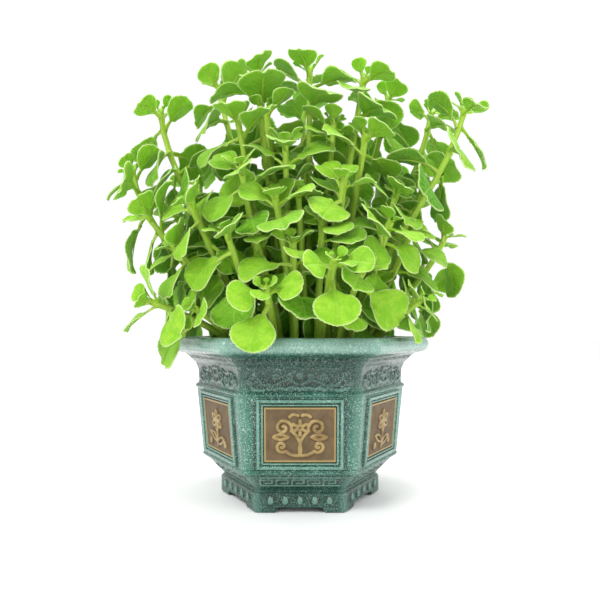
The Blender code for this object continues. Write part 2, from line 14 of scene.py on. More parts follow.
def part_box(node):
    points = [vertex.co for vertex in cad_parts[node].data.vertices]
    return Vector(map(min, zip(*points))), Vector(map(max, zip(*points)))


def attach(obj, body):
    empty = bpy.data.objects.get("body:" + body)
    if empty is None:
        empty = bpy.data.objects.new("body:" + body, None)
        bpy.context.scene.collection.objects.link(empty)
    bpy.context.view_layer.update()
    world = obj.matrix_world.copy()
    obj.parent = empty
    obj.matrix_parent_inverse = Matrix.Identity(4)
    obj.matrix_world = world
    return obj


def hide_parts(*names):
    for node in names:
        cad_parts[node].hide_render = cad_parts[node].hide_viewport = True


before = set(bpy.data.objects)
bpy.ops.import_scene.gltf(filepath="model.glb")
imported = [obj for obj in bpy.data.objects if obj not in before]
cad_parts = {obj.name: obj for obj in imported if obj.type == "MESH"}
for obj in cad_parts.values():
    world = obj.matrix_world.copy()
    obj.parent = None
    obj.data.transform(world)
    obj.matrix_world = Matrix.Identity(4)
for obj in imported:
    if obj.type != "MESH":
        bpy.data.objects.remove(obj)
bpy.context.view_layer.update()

# The pot's dimensions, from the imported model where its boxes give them.
CLEARANCE = 0.0003
SIDES = 6
FOOT_RING_HEIGHT = 0.015
TAPER_HEIGHT = 0.017
BODY_HEIGHT = 0.052
NECK_HEIGHT = 0.028
ROLL_HEIGHT = 0.012
FOOT_RADIUS = 0.0635
TAPER_FOOT_RADIUS = 0.061
BODY_FOOT_RADIUS = 0.078
BODY_TOP_RADIUS = 0.083
NECK_RADIUS = 0.0815
NECK_TOP_RADIUS = 0.090
POT_HEIGHT = round(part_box("pot")[1].z, 5)
RIM_RADIUS = round(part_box("pot")[1].x, 5)
SOIL_TOP = round(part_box("potting_soil")[1].z, 5)
RIM_OPENING_RADIUS = 0.088
MOULDING = 0.0014
WALL = 0.0075
FLOOR_THICKNESS = 0.008
FOOT_RECESS_RADIUS = 0.050
FOOT_RECESS_HEIGHT = 0.009
FOOT_ARCH_WIDTH = 0.034
FOOT_ARCH_HEIGHT = 0.004
DRAIN_DIAMETER = 0.018

# The frames and plaques.
FRAME_SIDE_MARGIN = 0.009
FRAME_END_MARGIN = 0.0015
FRAME_BORDER = 0.0055
FRAME_WIDTH = BODY_FOOT_RADIUS - 2 * FRAME_SIDE_MARGIN
FRAME_HEIGHT = BODY_HEIGHT - 2 * FRAME_END_MARGIN
FRAME_RELIEF = 0.0018
PLAQUE_WIDTH = FRAME_WIDTH - 2 * FRAME_BORDER
PLAQUE_HEIGHT = FRAME_HEIGHT - 2 * FRAME_BORDER
PLAQUE_THICKNESS = 0.0026
PLAQUE_INSET = 0.0008

# The plant.
PLANT_HEIGHT = 0.245
PLANT_REACH = 0.155
STEM_ROOT_RADIUS = 0.0028
STEM_TIP_RADIUS = 0.0020
LEAF_LENGTH = 0.042
LEAF_WIDTH = 0.035
LEAF_THICKNESS = 0.0015
PETIOLE_WIDTH = 0.0024
PETIOLE_SHARE = 0.20
PAIR_SPACING = 0.019
STEEPEST = math.radians(60)
LIT_TILT = 0.9
LIT_ROLL = 0.9
LEAF_GAP = 0.0041
STEM_REACH = math.sqrt(2) * STEM_ROOT_RADIUS + CLEARANCE
OWN_STEM_SHARE = 0.7

SEED = 7
STEM_STEPS = 12
NODE_BAND = 0.0024
SPOT_SHARES = [k / 4 for k in range(-4, 5)]
SOCKET_DEPTH = 0.020

BODY_FOOT = FOOT_RING_HEIGHT + TAPER_HEIGHT
BODY_TOP = BODY_FOOT + BODY_HEIGHT
FLOOR_TOP = FOOT_RECESS_HEIGHT + FLOOR_THICKNESS
APOTHEM = math.cos(math.pi / SIDES)
SIDE_TURNS = [math.tau * (side + 0.5) / SIDES for side in range(SIDES)]
SIDE_NORMALS = [(math.cos(turn), math.sin(turn)) for turn in SIDE_TURNS]

# Each shoot: its root as shares of the soil's half width, its tip as shares of the plant's reach and height,
# how early it leans out (0 late, 1 early), its leaf pairs, the size of its leaves, and the turn in degrees
# from +X of its first pair. The shoots in front come first, because each leaf keeps clear of earlier ones.
SHOOTS = {
    "front_left_low": (-0.42, -0.62, -0.33, -0.42, 0.37, 0.5, 7, 1.05, 200),
    "front_centre_low": (-0.05, -0.78, -0.03, -0.50, 0.33, 0.4, 5, 1.00, 20),
    "front_right_low": (0.40, -0.66, 0.28, -0.50, 0.26, 0.3, 5, 1.05, 330),
    "front_right_tall": (0.30, -0.50, 0.20, -0.38, 0.52, 0.4, 7, 0.95, 60),
    "rim_left": (-0.70, -0.40, -0.69, -0.35, 0.17, 0.4, 5, 1.05, 250),
    "rim_right": (0.72, -0.42, 0.56, -0.34, 0.18, 0.5, 5, 0.80, 300),
    "front_rim": (-0.24, -0.80, -0.14, -0.62, 0.20, 0.4, 3, 1.00, 260),
    "front_right_rim": (0.20, -0.84, 0.14, -0.62, 0.27, 0.4, 3, 0.95, 300),
    "left_corner": (-0.60, -0.52, -0.47, -0.44, 0.15, 0.4, 2, 1.00, 215),
    "left_front_low": (-0.58, -0.34, -0.51, -0.34, 0.46, 0.5, 6, 0.95, 240),
    "right_middle": (0.56, -0.30, 0.48, -0.16, 0.52, 0.5, 6, 1.00, 345),
    "left_low": (-0.62, -0.16, -0.60, -0.26, 0.34, 0.5, 5, 1.00, 215),
    "front_left_middle": (-0.34, -0.46, -0.27, -0.36, 0.56, 0.5, 7, 1.00, 10),
    "front_middle": (-0.06, -0.61, -0.11, -0.44, 0.46, 0.4, 6, 1.00, 75),
    "front_right_middle": (0.18, -0.66, 0.10, -0.42, 0.40, 0.4, 6, 1.00, 15),
    "right_front_low": (0.54, -0.48, 0.41, -0.38, 0.40, 0.5, 6, 1.00, 40),
    "front_bud": (-0.20, -0.58, -0.14, -0.40, 0.38, 0.5, 3, 0.70, 45),
    "centre_bud": (0.06, -0.47, -0.01, -0.32, 0.50, 0.5, 5, 0.80, 10),
    "right_low": (0.68, -0.12, 0.54, -0.22, 0.40, 0.7, 7, 0.95, 320),
    "left_middle": (-0.50, -0.06, -0.74, -0.22, 0.44, 0.8, 7, 1.10, 190),
    "centre_front": (-0.12, -0.28, -0.07, -0.26, 0.65, 0.4, 8, 1.00, 0),
    "right_front": (0.40, -0.26, 0.32, -0.20, 0.69, 0.5, 9, 0.95, 35),
    "left_front": (-0.30, -0.30, -0.31, -0.14, 0.75, 0.5, 9, 1.05, 170),
    "left_outer": (-0.70, 0.12, -0.86, -0.03, 0.60, 0.9, 8, 1.10, 100),
    "left_tall": (-0.46, 0.20, -0.74, 0.06, 0.82, 0.9, 8, 0.95, 160),
    "right_side": (0.80, 0.02, 0.76, 0.02, 0.40, 0.8, 5, 1.00, 340),
    "right_outer": (0.52, 0.02, 0.84, -0.06, 0.80, 0.8, 10, 1.05, 0),
    "centre_right": (0.20, -0.22, 0.17, -0.12, 0.74, 0.4, 7, 1.00, 80),
    "centre_left": (-0.20, -0.14, -0.17, -0.10, 0.79, 0.4, 7, 1.00, 50),
    "right_inner": (0.74, 0.22, 0.66, 0.10, 0.57, 0.6, 6, 1.00, 10),
    "left_inner": (-0.62, 0.24, -0.70, 0.24, 0.50, 0.7, 6, 1.00, 165),
    "crown_left": (-0.24, -0.02, -0.23, 0.00, 0.93, 0.4, 11, 1.05, 15),
    "crown_right": (0.10, -0.04, 0.05, -0.01, 0.94, 0.3, 11, 1.00, 340),
    "right_crown": (0.32, 0.02, 0.33, -0.03, 0.91, 0.5, 11, 1.00, 30),
    "right_upper": (0.44, 0.26, 0.49, 0.19, 0.90, 0.6, 9, 0.95, 20),
    "right_far": (0.58, 0.30, 0.72, 0.16, 0.84, 0.8, 10, 0.95, 60),
    "left_crown": (-0.30, 0.26, -0.47, 0.30, 0.97, 0.6, 11, 0.95, 170),
    "back_crown": (0.04, 0.24, 0.02, 0.36, 0.90, 0.5, 11, 1.00, 60),
    "back_left": (-0.50, 0.46, -0.62, 0.46, 0.66, 0.8, 9, 1.00, 120),
    "back_right": (0.46, 0.54, 0.50, 0.48, 0.68, 0.8, 8, 1.00, 75),
    "back_middle": (-0.12, 0.50, -0.16, 0.50, 0.64, 0.7, 8, 1.00, 90),
    "back_inner_left": (-0.28, 0.42, -0.34, 0.48, 0.52, 0.6, 7, 1.00, 80),
    "back_inner_right": (0.24, 0.46, 0.26, 0.52, 0.54, 0.6, 7, 1.00, 20),
    "back_low": (0.16, 0.70, 0.12, 0.55, 0.36, 0.6, 6, 1.05, 110),
    "back_left_low": (-0.34, 0.72, -0.42, 0.54, 0.30, 0.7, 5, 1.05, 140),
    "back_right_low": (0.50, 0.74, 0.46, 0.58, 0.24, 0.6, 4, 1.00, 50),
    "back_rim_left": (-0.68, 0.40, -0.70, 0.44, 0.22, 0.6, 5, 1.05, 150),
    "back_rim_right": (0.72, 0.38, 0.76, 0.40, 0.24, 0.6, 5, 1.00, 25),
}


def inner_neck():
    return (NECK_RADIUS - WALL, BODY_TOP + NECK_HEIGHT / 2)


def inner_foot():
    return (BODY_FOOT_RADIUS - 2 * WALL, FLOOR_TOP)


def inner_radius(z):
    """The inside corner radius of the pot at a height above its floor."""
    points = [inner_foot(), inner_neck(), (RIM_OPENING_RADIUS, POT_HEIGHT - ROLL_HEIGHT / 2)]
    for (r0, z0), (r1, z1) in zip(points, points[1:]):
        if z <= z1:
            return r0 + (r1 - r0) * (z - z0) / (z1 - z0)
    return RIM_OPENING_RADIUS


def side_axes(side):
    """From a side's own axes (across, up, out) to the pot's, at the middle of the side's sloping face."""
    lean = math.atan2((BODY_TOP_RADIUS - BODY_FOOT_RADIUS) * APOTHEM, BODY_HEIGHT)
    out = APOTHEM * (BODY_TOP_RADIUS + BODY_FOOT_RADIUS) / 2
    turn = math.tau * side / SIDES
    upright = Matrix.Rotation(math.pi / 2 + lean, 4, "X")
    middle = (0.0, -out, BODY_FOOT + BODY_HEIGHT / 2)
    return Matrix.Rotation(turn, 4, "Z") @ Matrix.Translation(middle) @ upright


def stem_points(root, tip, lean):
    """Points along a stem: up through its socket, then in one bend to its tip."""
    start = Vector((root[0], root[1], SOIL_TOP + CLEARANCE))
    rise = tip.z - start.z
    first = start + Vector((0.0, 0.0, rise * 0.30))
    across = start.lerp(tip, lean)
    second = Vector((across.x, across.y, start.z + rise * 0.60))
    points = [Vector((start.x, start.y, SOIL_TOP - SOCKET_DEPTH + CLEARANCE))]
    for k in range(STEM_STEPS + 1):
        t = k / STEM_STEPS
        weights = ((1 - t) ** 3, 3 * t * (1 - t) ** 2, 3 * t * t * (1 - t), t ** 3)
        corners = (start, first, second, tip)
        points.append(sum((w * corner for w, corner in zip(weights, corners)), Vector()))
    return points


def along(points, distance_from_tip):
    """The place and the direction of a stem at a distance below its tip."""
    left = distance_from_tip
    for high, low in zip(points[::-1], points[-2::-1]):
        step = (high - low).length
        if left <= step:
            return high.lerp(low, left / step), (high - low).normalized()
        left -= step
    return points[0].copy(), Vector((0.0, 0.0, 1.0))


def length_of(points):
    return sum((high - low).length for low, high in zip(points, points[1:]))


def stem_radius(points, distance_from_tip):
    share = min(1.0, distance_from_tip / length_of(points))
    return STEM_TIP_RADIUS + (STEM_ROOT_RADIUS - STEM_TIP_RADIUS) * share


def stem_faces(turn, stem):
    """The square stem's two face directions: the first is level and heads nearest to the turn."""
    out = Vector((math.cos(turn), math.sin(turn), 0.0))
    out = (out - out.dot(stem) * stem).normalized()
    return out, stem.cross(out)


def half_width(s, width):
    """Half the leaf's width at a share s of its length: a thin petiole, then a blade widest past its middle."""
    if s <= PETIOLE_SHARE:
        return PETIOLE_WIDTH / 2
    u = (s - PETIOLE_SHARE) / (1 - PETIOLE_SHARE)
    widest = 0.58
    if u < widest:
        shape = math.sin(math.pi / 2 * u / widest) ** 1.1
    else:
        shape = math.sqrt(max(0.0, 1 - ((u - widest) / (1 - widest)) ** 2))
    return max(width / 2 * shape, PETIOLE_WIDTH / 2 * (1 - u))


def leaf_section(leaf, s):
    """Across the leaf at a share s of its length: its middle, its half width, its side and its upper normal."""
    bend = leaf["bend"]
    angle = leaf["rise"] + bend * s
    forward = (math.sin(angle) - math.sin(leaf["rise"])) / bend
    upward = (math.cos(leaf["rise"]) - math.cos(angle)) / bend
    middle = leaf["base"] + leaf["length"] * (forward * leaf["out"] + upward * leaf["up"])
    normal = math.cos(angle) * leaf["up"] - math.sin(angle) * leaf["out"]
    across = math.cos(leaf["roll"]) * leaf["side"] + math.sin(leaf["roll"]) * normal
    normal = math.cos(leaf["roll"]) * normal - math.sin(leaf["roll"]) * leaf["side"]
    return middle, half_width(s, leaf["width"]), across, normal


def leaf_row(leaf, s, shares):
    """Points on the leaf's middle surface at a share s of its length, at shares from -1 to 1 across it."""
    middle, half, across, normal = leaf_section(leaf, s)
    return [middle + t * half * across + leaf["cup"] * t * t * half * normal for t in shares]


def leaf_on(points, distance, turn, face, heading, rise, bend, size, cup, roll):
    """A leaf growing from one face of the stem, turned by its heading away from square to that face. It tips its
    upper side away from the plant's axis, towards the light."""
    centre, stem = along(points, distance)
    across, beside = stem_faces(turn, stem)
    square_out = (across, beside, -across, -beside)[face]
    out = math.cos(heading) * square_out + math.sin(heading) * stem.cross(square_out)
    lit = Vector((centre.x, centre.y, 0.0)) / PLANT_REACH
    rise = min(STEEPEST, rise - LIT_TILT * out.dot(lit))
    roll -= LIT_ROLL * min(1.0, size) * stem.cross(out).dot(lit)
    return {
        "distance": distance,
        "face": face,
        "base": centre + stem_radius(points, distance) * square_out,
        "out": out,
        "up": stem,
        "side": stem.cross(out),
        "rise": rise,
        "bend": bend,
        "length": LEAF_LENGTH * size,
        "width": LEAF_WIDTH * size,
        "cup": cup,
        "roll": roll,
    }


def leaf_spots(leaf):
    """Points spread over a leaf, close enough together that two blades can't cross between them: those at its
    petiole, which start near its own stem, and the rest."""
    near = [leaf_row(leaf, s, (0.0,))[0] for s in (0.12, 0.22)] + leaf_row(leaf, 0.30, SPOT_SHARES)
    far = leaf_row(leaf, 1.0, (0.0,))
    for s in (0.42, 0.54, 0.66, 0.78, 0.90):
        far += leaf_row(leaf, s, SPOT_SHARES)
    return near, far


def hexagon_distance(point):
    """How far a point is from the pot's axis, measured square to the nearest side."""
    return max(point.x * x + point.y * y for x, y in SIDE_NORMALS)


def meets_pot(spots):
    """Whether any spot is in the rim, the pot or the soil, or too near to them."""
    for spot in spots:
        if spot.z > POT_HEIGHT + LEAF_GAP:
            continue
        distance = hexagon_distance(spot)
        over_soil = distance < RIM_OPENING_RADIUS * APOTHEM - LEAF_GAP and spot.z > SOIL_TOP + LEAF_GAP
        if distance < RIM_RADIUS * APOTHEM + LEAF_GAP and not over_soil:
            return True
    return False


class Room:
    """The spots already taken, in cells as wide as the largest gap that is asked for. Each spot is kept in its own
    cell and in those around it. A stem's spots have its shoot as their owner, and that shoot's own petioles may
    be nearer to them."""

    def __init__(self, cell):
        self.cell = cell
        self.cells = {}

    def key(self, point):
        return tuple(math.floor(c / self.cell) for c in point)

    def take(self, spots, reach, owner=""):
        for spot in spots:
            for around in itertools.product(*((k - 1, k, k + 1) for k in self.key(spot))):
                self.cells.setdefault(around, []).append((spot, reach, owner))

    def free(self, spots, reach, owner=None):
        for spot in spots:
            for other, other_reach, other_owner in self.cells.get(self.key(spot), ()):
                gap = reach + other_reach
                if other_owner == owner:
                    gap *= OWN_STEM_SHARE
                if (spot - other).length_squared < gap * gap:
                    return False
        return True


def stem_spots(points, radius):
    """Points along a stem, a radius apart."""
    spots = []
    for low, high in zip(points[1:], points[2:]):
        steps = max(1, math.ceil((high - low).length / radius))
        spots += [low.lerp(high, k / steps) for k in range(steps)]
    return spots


def stem_meets_pot(spots):
    """Whether a stem comes too near the wall or the rolled rim on its way out of the pot."""
    return any(
        spot.z < POT_HEIGHT + STEM_REACH
        and hexagon_distance(spot) > inner_radius(spot.z) * APOTHEM - STEM_REACH
        for spot in spots
    )


# How a stem gives way to earlier ones: its tip moved sideways, as a share of the plant's reach, and its lean.
STEM_TRIES = [
    (sideways, leant)
    for sideways in (0.0, 0.08, -0.08, 0.16, -0.16)
    for leant in (0.0, 0.15, -0.15, 0.3, -0.3)
]


def grow_stem(row, room, name):
    """The first of a few ways to grow at which the stem clears the pot and the earlier stems."""
    root_x, root_y, tip_x, tip_y, tip_z, lean = row[:6]
    soil = inner_radius(SOIL_TOP) * APOTHEM
    sideways_on = Vector((-tip_y, tip_x, 0.0)).normalized()
    for sideways, leant in STEM_TRIES:
        tip = PLANT_REACH * (Vector((tip_x, tip_y, 0.0)) + sideways * sideways_on)
        tip.z = SOIL_TOP + tip_z * PLANT_HEIGHT
        points = stem_points((root_x * soil, root_y * soil), tip, min(1.0, max(0.0, lean + leant)))
        spots = stem_spots(points, STEM_ROOT_RADIUS)
        if not stem_meets_pot(spots) and room.free(spots, STEM_REACH):
            break
    room.take(spots, STEM_REACH, name)
    return points


def pair_distances(pairs):
    """How far below the tip each pair grows: close together in the bud, then evenly spaced."""
    bud = (0.0018, 0.0062, 0.0165, 0.036)
    return [bud[k] if k < 4 else bud[3] + (k - 3) * PAIR_SPACING for k in range(pairs)]


# How a leaf gives way to earlier ones: turned, lifted (radians) and shrunk.
TRIES = [(0.0, 0.0, 1.0)] + [
    (turned, lifted, shrunk)
    for shrunk in (1.0, 0.88, 0.74, 0.62)
    for lifted in (0.0, 0.3, -0.3, 0.6, -0.6)
    for turned in (0.0, 0.25, -0.25, 0.5, -0.5, 0.8, -0.8)
]


def grow_leaves(row, points, turn, room, name, dice):
    """Opposite pairs, each turned a quarter from the last: small and steep at the tip, wide and hanging below."""
    pairs, size = row[6:8]
    above_soil = length_of(points[1:])
    leaves = []
    for pair, distance in enumerate(pair_distances(pairs)):
        if distance + NODE_BAND > above_soil:
            break
        grown = (0.36, 0.62, 0.86, 1.0)[min(pair, 3)] * size
        rise = math.radians((62, 40, 18, 4, -8, -18, -26)[min(pair, 6)])
        reach = LEAF_GAP / 2 * min(1.0, grown + 0.1)
        for half in range(2):
            heading = dice.uniform(-0.25, 0.25)
            lift = rise + dice.uniform(-0.2, 0.2)
            bend = -(0.4 + 0.15 * min(pair, 4)) * dice.uniform(0.7, 1.3)
            cup = dice.uniform(0.08, 0.24)
            roll = dice.uniform(-0.35, 0.35)
            own = grown * dice.uniform(0.9, 1.08)
            for turned, lifted, shrunk in TRIES:
                leaf = leaf_on(
                    points, distance, turn, pair % 2 + 2 * half, heading + turned,
                    lift + lifted, bend, own * shrunk, cup, roll,
                )
                near, far = leaf_spots(leaf)
                if not meets_pot(near + far) and room.free(far, reach) and room.free(near, reach, name):
                    room.take(near + far, reach)
                    leaves.append(leaf)
                    break
    return leaves


def grow_plant():
    """Every shoot's stem and leaves, in the order of the table."""
    dice = random.Random(SEED)
    room = Room(2 * STEM_REACH)
    shoots = {}
    for name, row in SHOOTS.items():
        shoots[name] = {"points": grow_stem(row, room, name), "turn": math.radians(row[8])}
    for name, row in SHOOTS.items():
        shoot = shoots[name]
        shoot["leaves"] = grow_leaves(row, shoot["points"], shoot["turn"], room, name, dice)
    return shoots


# Meshes from arrays.


def piece_of(name, points, quads, triangles, finish, nodes, values, place=None):
    """A smooth piece on the object's only body, with its named value and its place at each point."""
    mesh = bpy.data.meshes.new(name)
    loops = np.concatenate([quads.ravel(), triangles.ravel()]).astype(np.int32)
    sizes = np.concatenate([np.full(len(quads), 4), np.full(len(triangles), 3)])
    mesh.vertices.add(len(points))
    mesh.vertices.foreach_set("co", points.astype(np.float32).ravel())
    mesh.loops.add(len(loops))
    mesh.loops.foreach_set("vertex_index", loops)
    mesh.polygons.add(len(sizes))
    mesh.polygons.foreach_set("loop_start", np.concatenate([[0], np.cumsum(sizes)[:-1]]).astype(np.int32))
    mesh.update(calc_edges=True)
    mesh.shade_smooth()
    for key, numbers in values.items():
        mesh.attributes.new(key, "FLOAT", "POINT").data.foreach_set("value", numbers.astype(np.float32))
    if place is not None:
        vectors = mesh.attributes.new("place", "FLOAT_VECTOR", "POINT").data
        vectors.foreach_set("vector", place.astype(np.float32).ravel())
    mesh.materials.append(finish)
    obj = bpy.data.objects.new(name, mesh)
    bpy.context.scene.collection.objects.link(obj)
    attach(obj, "root")
    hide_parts(*nodes)
    return obj


def smooth_step(low, high, x):
    t = np.clip((x - low) / (high - low), 0.0, 1.0)
    return t * t * (3 - 2 * t)


def tube_quads(rows, columns, first=0):
    """The quads between closed rings of points that follow one another, facing out."""
    k, j = np.meshgrid(np.arange(rows - 1), np.arange(columns), indexing="ij")
    after = (j + 1) % columns
    return first + np.stack([k * columns + j, k * columns + after, (k + 1) * columns + after,
                             (k + 1) * columns + j], -1).reshape(-1, 4)


def grid_quads(rows, columns, first=0):
    """The quads of an open grid, facing the way that rows cross columns."""
    k, j = np.meshgrid(np.arange(rows - 1), np.arange(columns - 1), indexing="ij")
    return first + np.stack([k * columns + j, k * columns + j + 1, (k + 1) * columns + j + 1,
                             (k + 1) * columns + j], -1).reshape(-1, 4)


# The fine leaf. Its template lies flat: a along the blade and b across it, both as shares.
BLADE_FROM = 0.17
OUTLINE_POINTS = 42
TEETH = 11.5
TEETH_FROM = 0.30
TOOTH_DEPTH = 0.055
BLADE_RINGS = (0.34, 0.64, 0.86, 0.96)
BLADE_WIDER = 1.07
PUFF = 0.0013
MIDRIB_FOLD = 0.0011
RIPPLE = 0.0011


def blade_template():
    """The flat blade's points as (a, b, top or bottom, share of the way out), and its quads and triangles."""
    u = np.linspace(0.0, 1.0, 400)
    widest = 0.60
    rising = np.sin(np.pi / 2 * np.minimum(u / widest, 1.0)) ** 1.25
    falling = np.sqrt(np.clip(1 - ((u - widest) / (1 - widest)) ** 2, 0.0, 1.0))
    across = np.where(u < widest, rising, falling)
    steps = np.hypot(np.diff(u) * LEAF_LENGTH * (1 - BLADE_FROM), np.diff(across) * LEAF_WIDTH / 2)
    arc = np.concatenate([[0.0], np.cumsum(steps)])
    share = np.linspace(0.0, 1.0, OUTLINE_POINTS + 1)
    a = np.interp(share, arc / arc[-1], u)
    b = np.interp(share, arc / arc[-1], across)
    tooth = np.abs(np.sin(np.pi * TEETH * (share - TEETH_FROM) / (1 - TEETH_FROM))) ** 0.6
    inward = TOOTH_DEPTH * (1 - tooth) * smooth_step(TEETH_FROM - 0.1, TEETH_FROM + 0.1, share)
    a = 0.55 + (a - 0.55) * (1 - inward)
    b = b * (1 - inward)
    outline = np.concatenate([np.stack([a, -b], -1), np.stack([a, b], -1)[-2:0:-1]])
    count = len(outline)
    middle = np.array([0.55, 0.0])
    rows = [np.column_stack([middle + rho * (outline - middle), np.full(count, 1.0), np.full(count, rho)])
            for rho in BLADE_RINGS]
    rows.append(np.column_stack([outline, np.zeros(count), np.ones(count)]))
    rows += [row * (1, 1, -1, 1) for row in rows[-2::-1]]
    ends = np.array([[*middle, 1.0, 0.0], [*middle, -1.0, 0.0]])
    points = np.concatenate([*rows, ends])
    ring = np.arange(count)
    after = (ring + 1) % count
    top, bottom = len(rows) * count, len(rows) * count + 1
    last = (len(rows) - 1) * count
    fans = np.concatenate([
        np.stack([np.full(count, top), ring, after], -1),
        np.stack([np.full(count, bottom), last + after, last + ring], -1),
    ])
    return points, tube_quads(len(rows), count)[:, ::-1], fans


def leaf_frame(leaf, s):
    """For shares s along a leaf: its middle line, its side direction and its upper normal, as arrays."""
    out, up, side = (np.array(leaf[key]) for key in ("out", "up", "side"))
    rise, bend = leaf["rise"], leaf["bend"]
    angle = rise + bend * s
    forward = (np.sin(angle) - math.sin(rise)) / bend
    upward = (math.cos(rise) - np.cos(angle)) / bend
    middle = np.array(leaf["base"]) + leaf["length"] * (forward[:, None] * out + upward[:, None] * up)
    normal = np.cos(angle)[:, None] * up - np.sin(angle)[:, None] * out
    across = math.cos(leaf["roll"]) * side + math.sin(leaf["roll"]) * normal
    normal = math.cos(leaf["roll"]) * normal - math.sin(leaf["roll"]) * side
    return middle, across, normal


def blade_points(leaf, template, dice):
    """The template bent, cupped, puffed up between its veins and rippled at its margin."""
    a, b, face, rho = template.T
    size = leaf["width"] / LEAF_WIDTH
    s = BLADE_FROM + a * (1 - BLADE_FROM)
    half = leaf["width"] / 2 * BLADE_WIDER
    y = b * half
    middle, across, normal = leaf_frame(leaf, s)
    turn = np.arctan2(b, a - 0.55)
    ripple = RIPPLE * rho ** 3 * np.sin(dice.integers(3, 6) * turn + dice.uniform(0, 6.28))
    ripple += 0.4 * RIPPLE * rho ** 6 * np.sin(9 * turn + dice.uniform(0, 6.28))
    puff = PUFF * (1 - rho ** 2) - MIDRIB_FOLD * np.exp(-((b / 0.13) ** 2)) * (1 - 0.5 * a)
    thick = LEAF_THICKNESS / 2 * min(1.0, 0.5 + size / 2) * np.sqrt(1 - rho ** 8)
    lift = leaf["cup"] * y * y / half + size * (ripple + puff) + face * thick
    points = middle + y[:, None] * across + lift[:, None] * normal
    return points, np.column_stack([a * leaf["length"], y, np.full(len(a), size)])


# The petiole, which runs on under the blade as its midrib: share along the leaf, half width, half depth, drop.
PETIOLE_STATIONS = np.array([
    (-0.02, 0.0027, 0.0020, 0.0),
    (0.03, 0.0024, 0.0016, 0.0),
    (0.08, 0.0021, 0.0013, 0.0),
    (0.13, 0.0020, 0.0012, 0.0),
    (0.19, 0.0021, 0.0011, 0.0001),
    (0.26, 0.0018, 0.0009, 0.0003),
    (0.36, 0.0012, 0.0007, 0.0006),
    (0.52, 0.0008, 0.0005, 0.0008),
    (0.70, 0.0005, 0.0003, 0.0006),
    (0.86, 0.0002, 0.0001, 0.0004),
])
PETIOLE_SIDES = 10


def petiole_points(leaf):
    s, half, deep, drop = PETIOLE_STATIONS.T
    size = 0.25 + 0.75 * leaf["width"] / LEAF_WIDTH
    middle, across, normal = leaf_frame(leaf, s)
    turns = np.arange(PETIOLE_SIDES) * math.tau / PETIOLE_SIDES
    sideways = (size * half)[:, None] * np.cos(turns)
    upward = (size * deep)[:, None] * np.sin(turns) - (size * drop)[:, None]
    points = middle[:, None] + sideways[..., None] * across[:, None] + upward[..., None] * normal[:, None]
    place = np.stack([np.repeat(s[:, None] * leaf["length"], PETIOLE_SIDES, 1), sideways, sideways * 0], -1)
    return points.reshape(-1, 3), place.reshape(-1, 3)


# The fine stem: a square with rounded corners and a groove along each face, swollen at each pair.
STEM_SIDES = 16
STEM_FULLER = 1.06
STEM_PITCH = 0.0016
STEM_GROOVE = 0.10
NODE_SWELL = 0.20
NODE_SPREAD = 0.0028


def stem_points_fine(shoot):
    points, turn = shoot["points"], shoot["turn"]
    whole = length_of(points)
    distances = np.concatenate([[0.0, 0.0003, 0.0009], np.linspace(0.0018, whole, int(whole / STEM_PITCH))])
    bands = np.array(sorted({leaf["distance"] for leaf in shoot["leaves"]}) or [whole])
    rings = []
    for distance in distances:
        centre, stem = along(points, float(distance))
        across, beside = (np.array(v) for v in stem_faces(turn, stem))
        turns = np.arange(STEM_SIDES) * math.tau / STEM_SIDES
        swell = 1 + NODE_SWELL * np.exp(-(((distance - bands) / NODE_SPREAD) ** 2)).max()
        closing = math.sqrt(min(1.0, distance / 0.0018)) * 0.97 + 0.03
        reach = stem_radius(points, distance) * STEM_FULLER * swell * closing
        r = reach * (1 - STEM_GROOVE * np.cos(4 * turns))
        rings.append(np.array(centre) + np.cos(turns)[:, None] * r[:, None] * across
                     + np.sin(turns)[:, None] * r[:, None] * beside)
    rows = len(rings)
    place = np.stack([
        np.repeat(distances[:, None], STEM_SIDES, 1),
        np.repeat((np.cos(4 * turns) * 0.001)[None], rows, 0),
        np.zeros((rows, STEM_SIDES)),
    ], -1)
    return np.concatenate(rings), place.reshape(-1, 3), rows


def dress_shoot(name, shoot, template, finish, dice):
    """One piece for a shoot: its stem, its petioles, its blades, and the bud that closes its tip."""
    blade, blade_quads, blade_fans = template
    points, places, quads, fans = [], [], [], []
    values = {"tone": [], "rim": [], "pale": [], "under": []}
    count = 0

    def add(new_points, new_place, new_quads, new_fans, tone, rim, pale, under):
        nonlocal count
        points.append(new_points)
        places.append(new_place)
        quads.append(new_quads + count)
        fans.append(new_fans + count)
        for key, value in zip(values, (tone, rim, pale, under)):
            values[key].append(np.broadcast_to(np.asarray(value, float), len(new_points)))
        count += len(new_points)

    none = np.zeros((0, 3), int)
    stem, place, rows = stem_points_fine(shoot)
    add(stem, place, tube_quads(rows, STEM_SIDES)[:, ::-1], none, 0.5, 0.0, 1.0, 0.0)
    stations = len(PETIOLE_STATIONS)
    turn = shoot["turn"]
    bud = [leaf_on(shoot["points"], 0.0008, turn, face, 0.0, math.radians(rise), -0.4, size, 0.3, 0.0)
           for face, rise, size in ((1, 68, 0.23), (3, 72, 0.20), (0, 80, 0.12), (2, 82, 0.11))]
    for leaf in shoot["leaves"] + bud:
        age = min(1.0, leaf["distance"] / 0.06)
        tone = np.clip(0.15 + 0.6 * age + dice.uniform(-0.28, 0.28), 0.0, 1.0)
        body, place = petiole_points(leaf)
        petiole = tube_quads(stations, PETIOLE_SIDES)
        add(body, place, petiole, none, tone, 0.0, 0.8, 0.0)
        body, place = blade_points(leaf, blade, dice)
        rho = blade[:, 3]
        under = blade[:, 2] < 0
        fuzz = 0.35 * (1 - age)
        add(body, place, blade_quads, blade_fans, tone, rho, fuzz, under)
    return piece_of(
        f"herb_{name}", np.concatenate(points), np.concatenate(quads), np.concatenate(fans), finish,
        [f"shoot_{name}"], {key: np.concatenate(value) for key, value in values.items()},
        np.concatenate(places),
    )


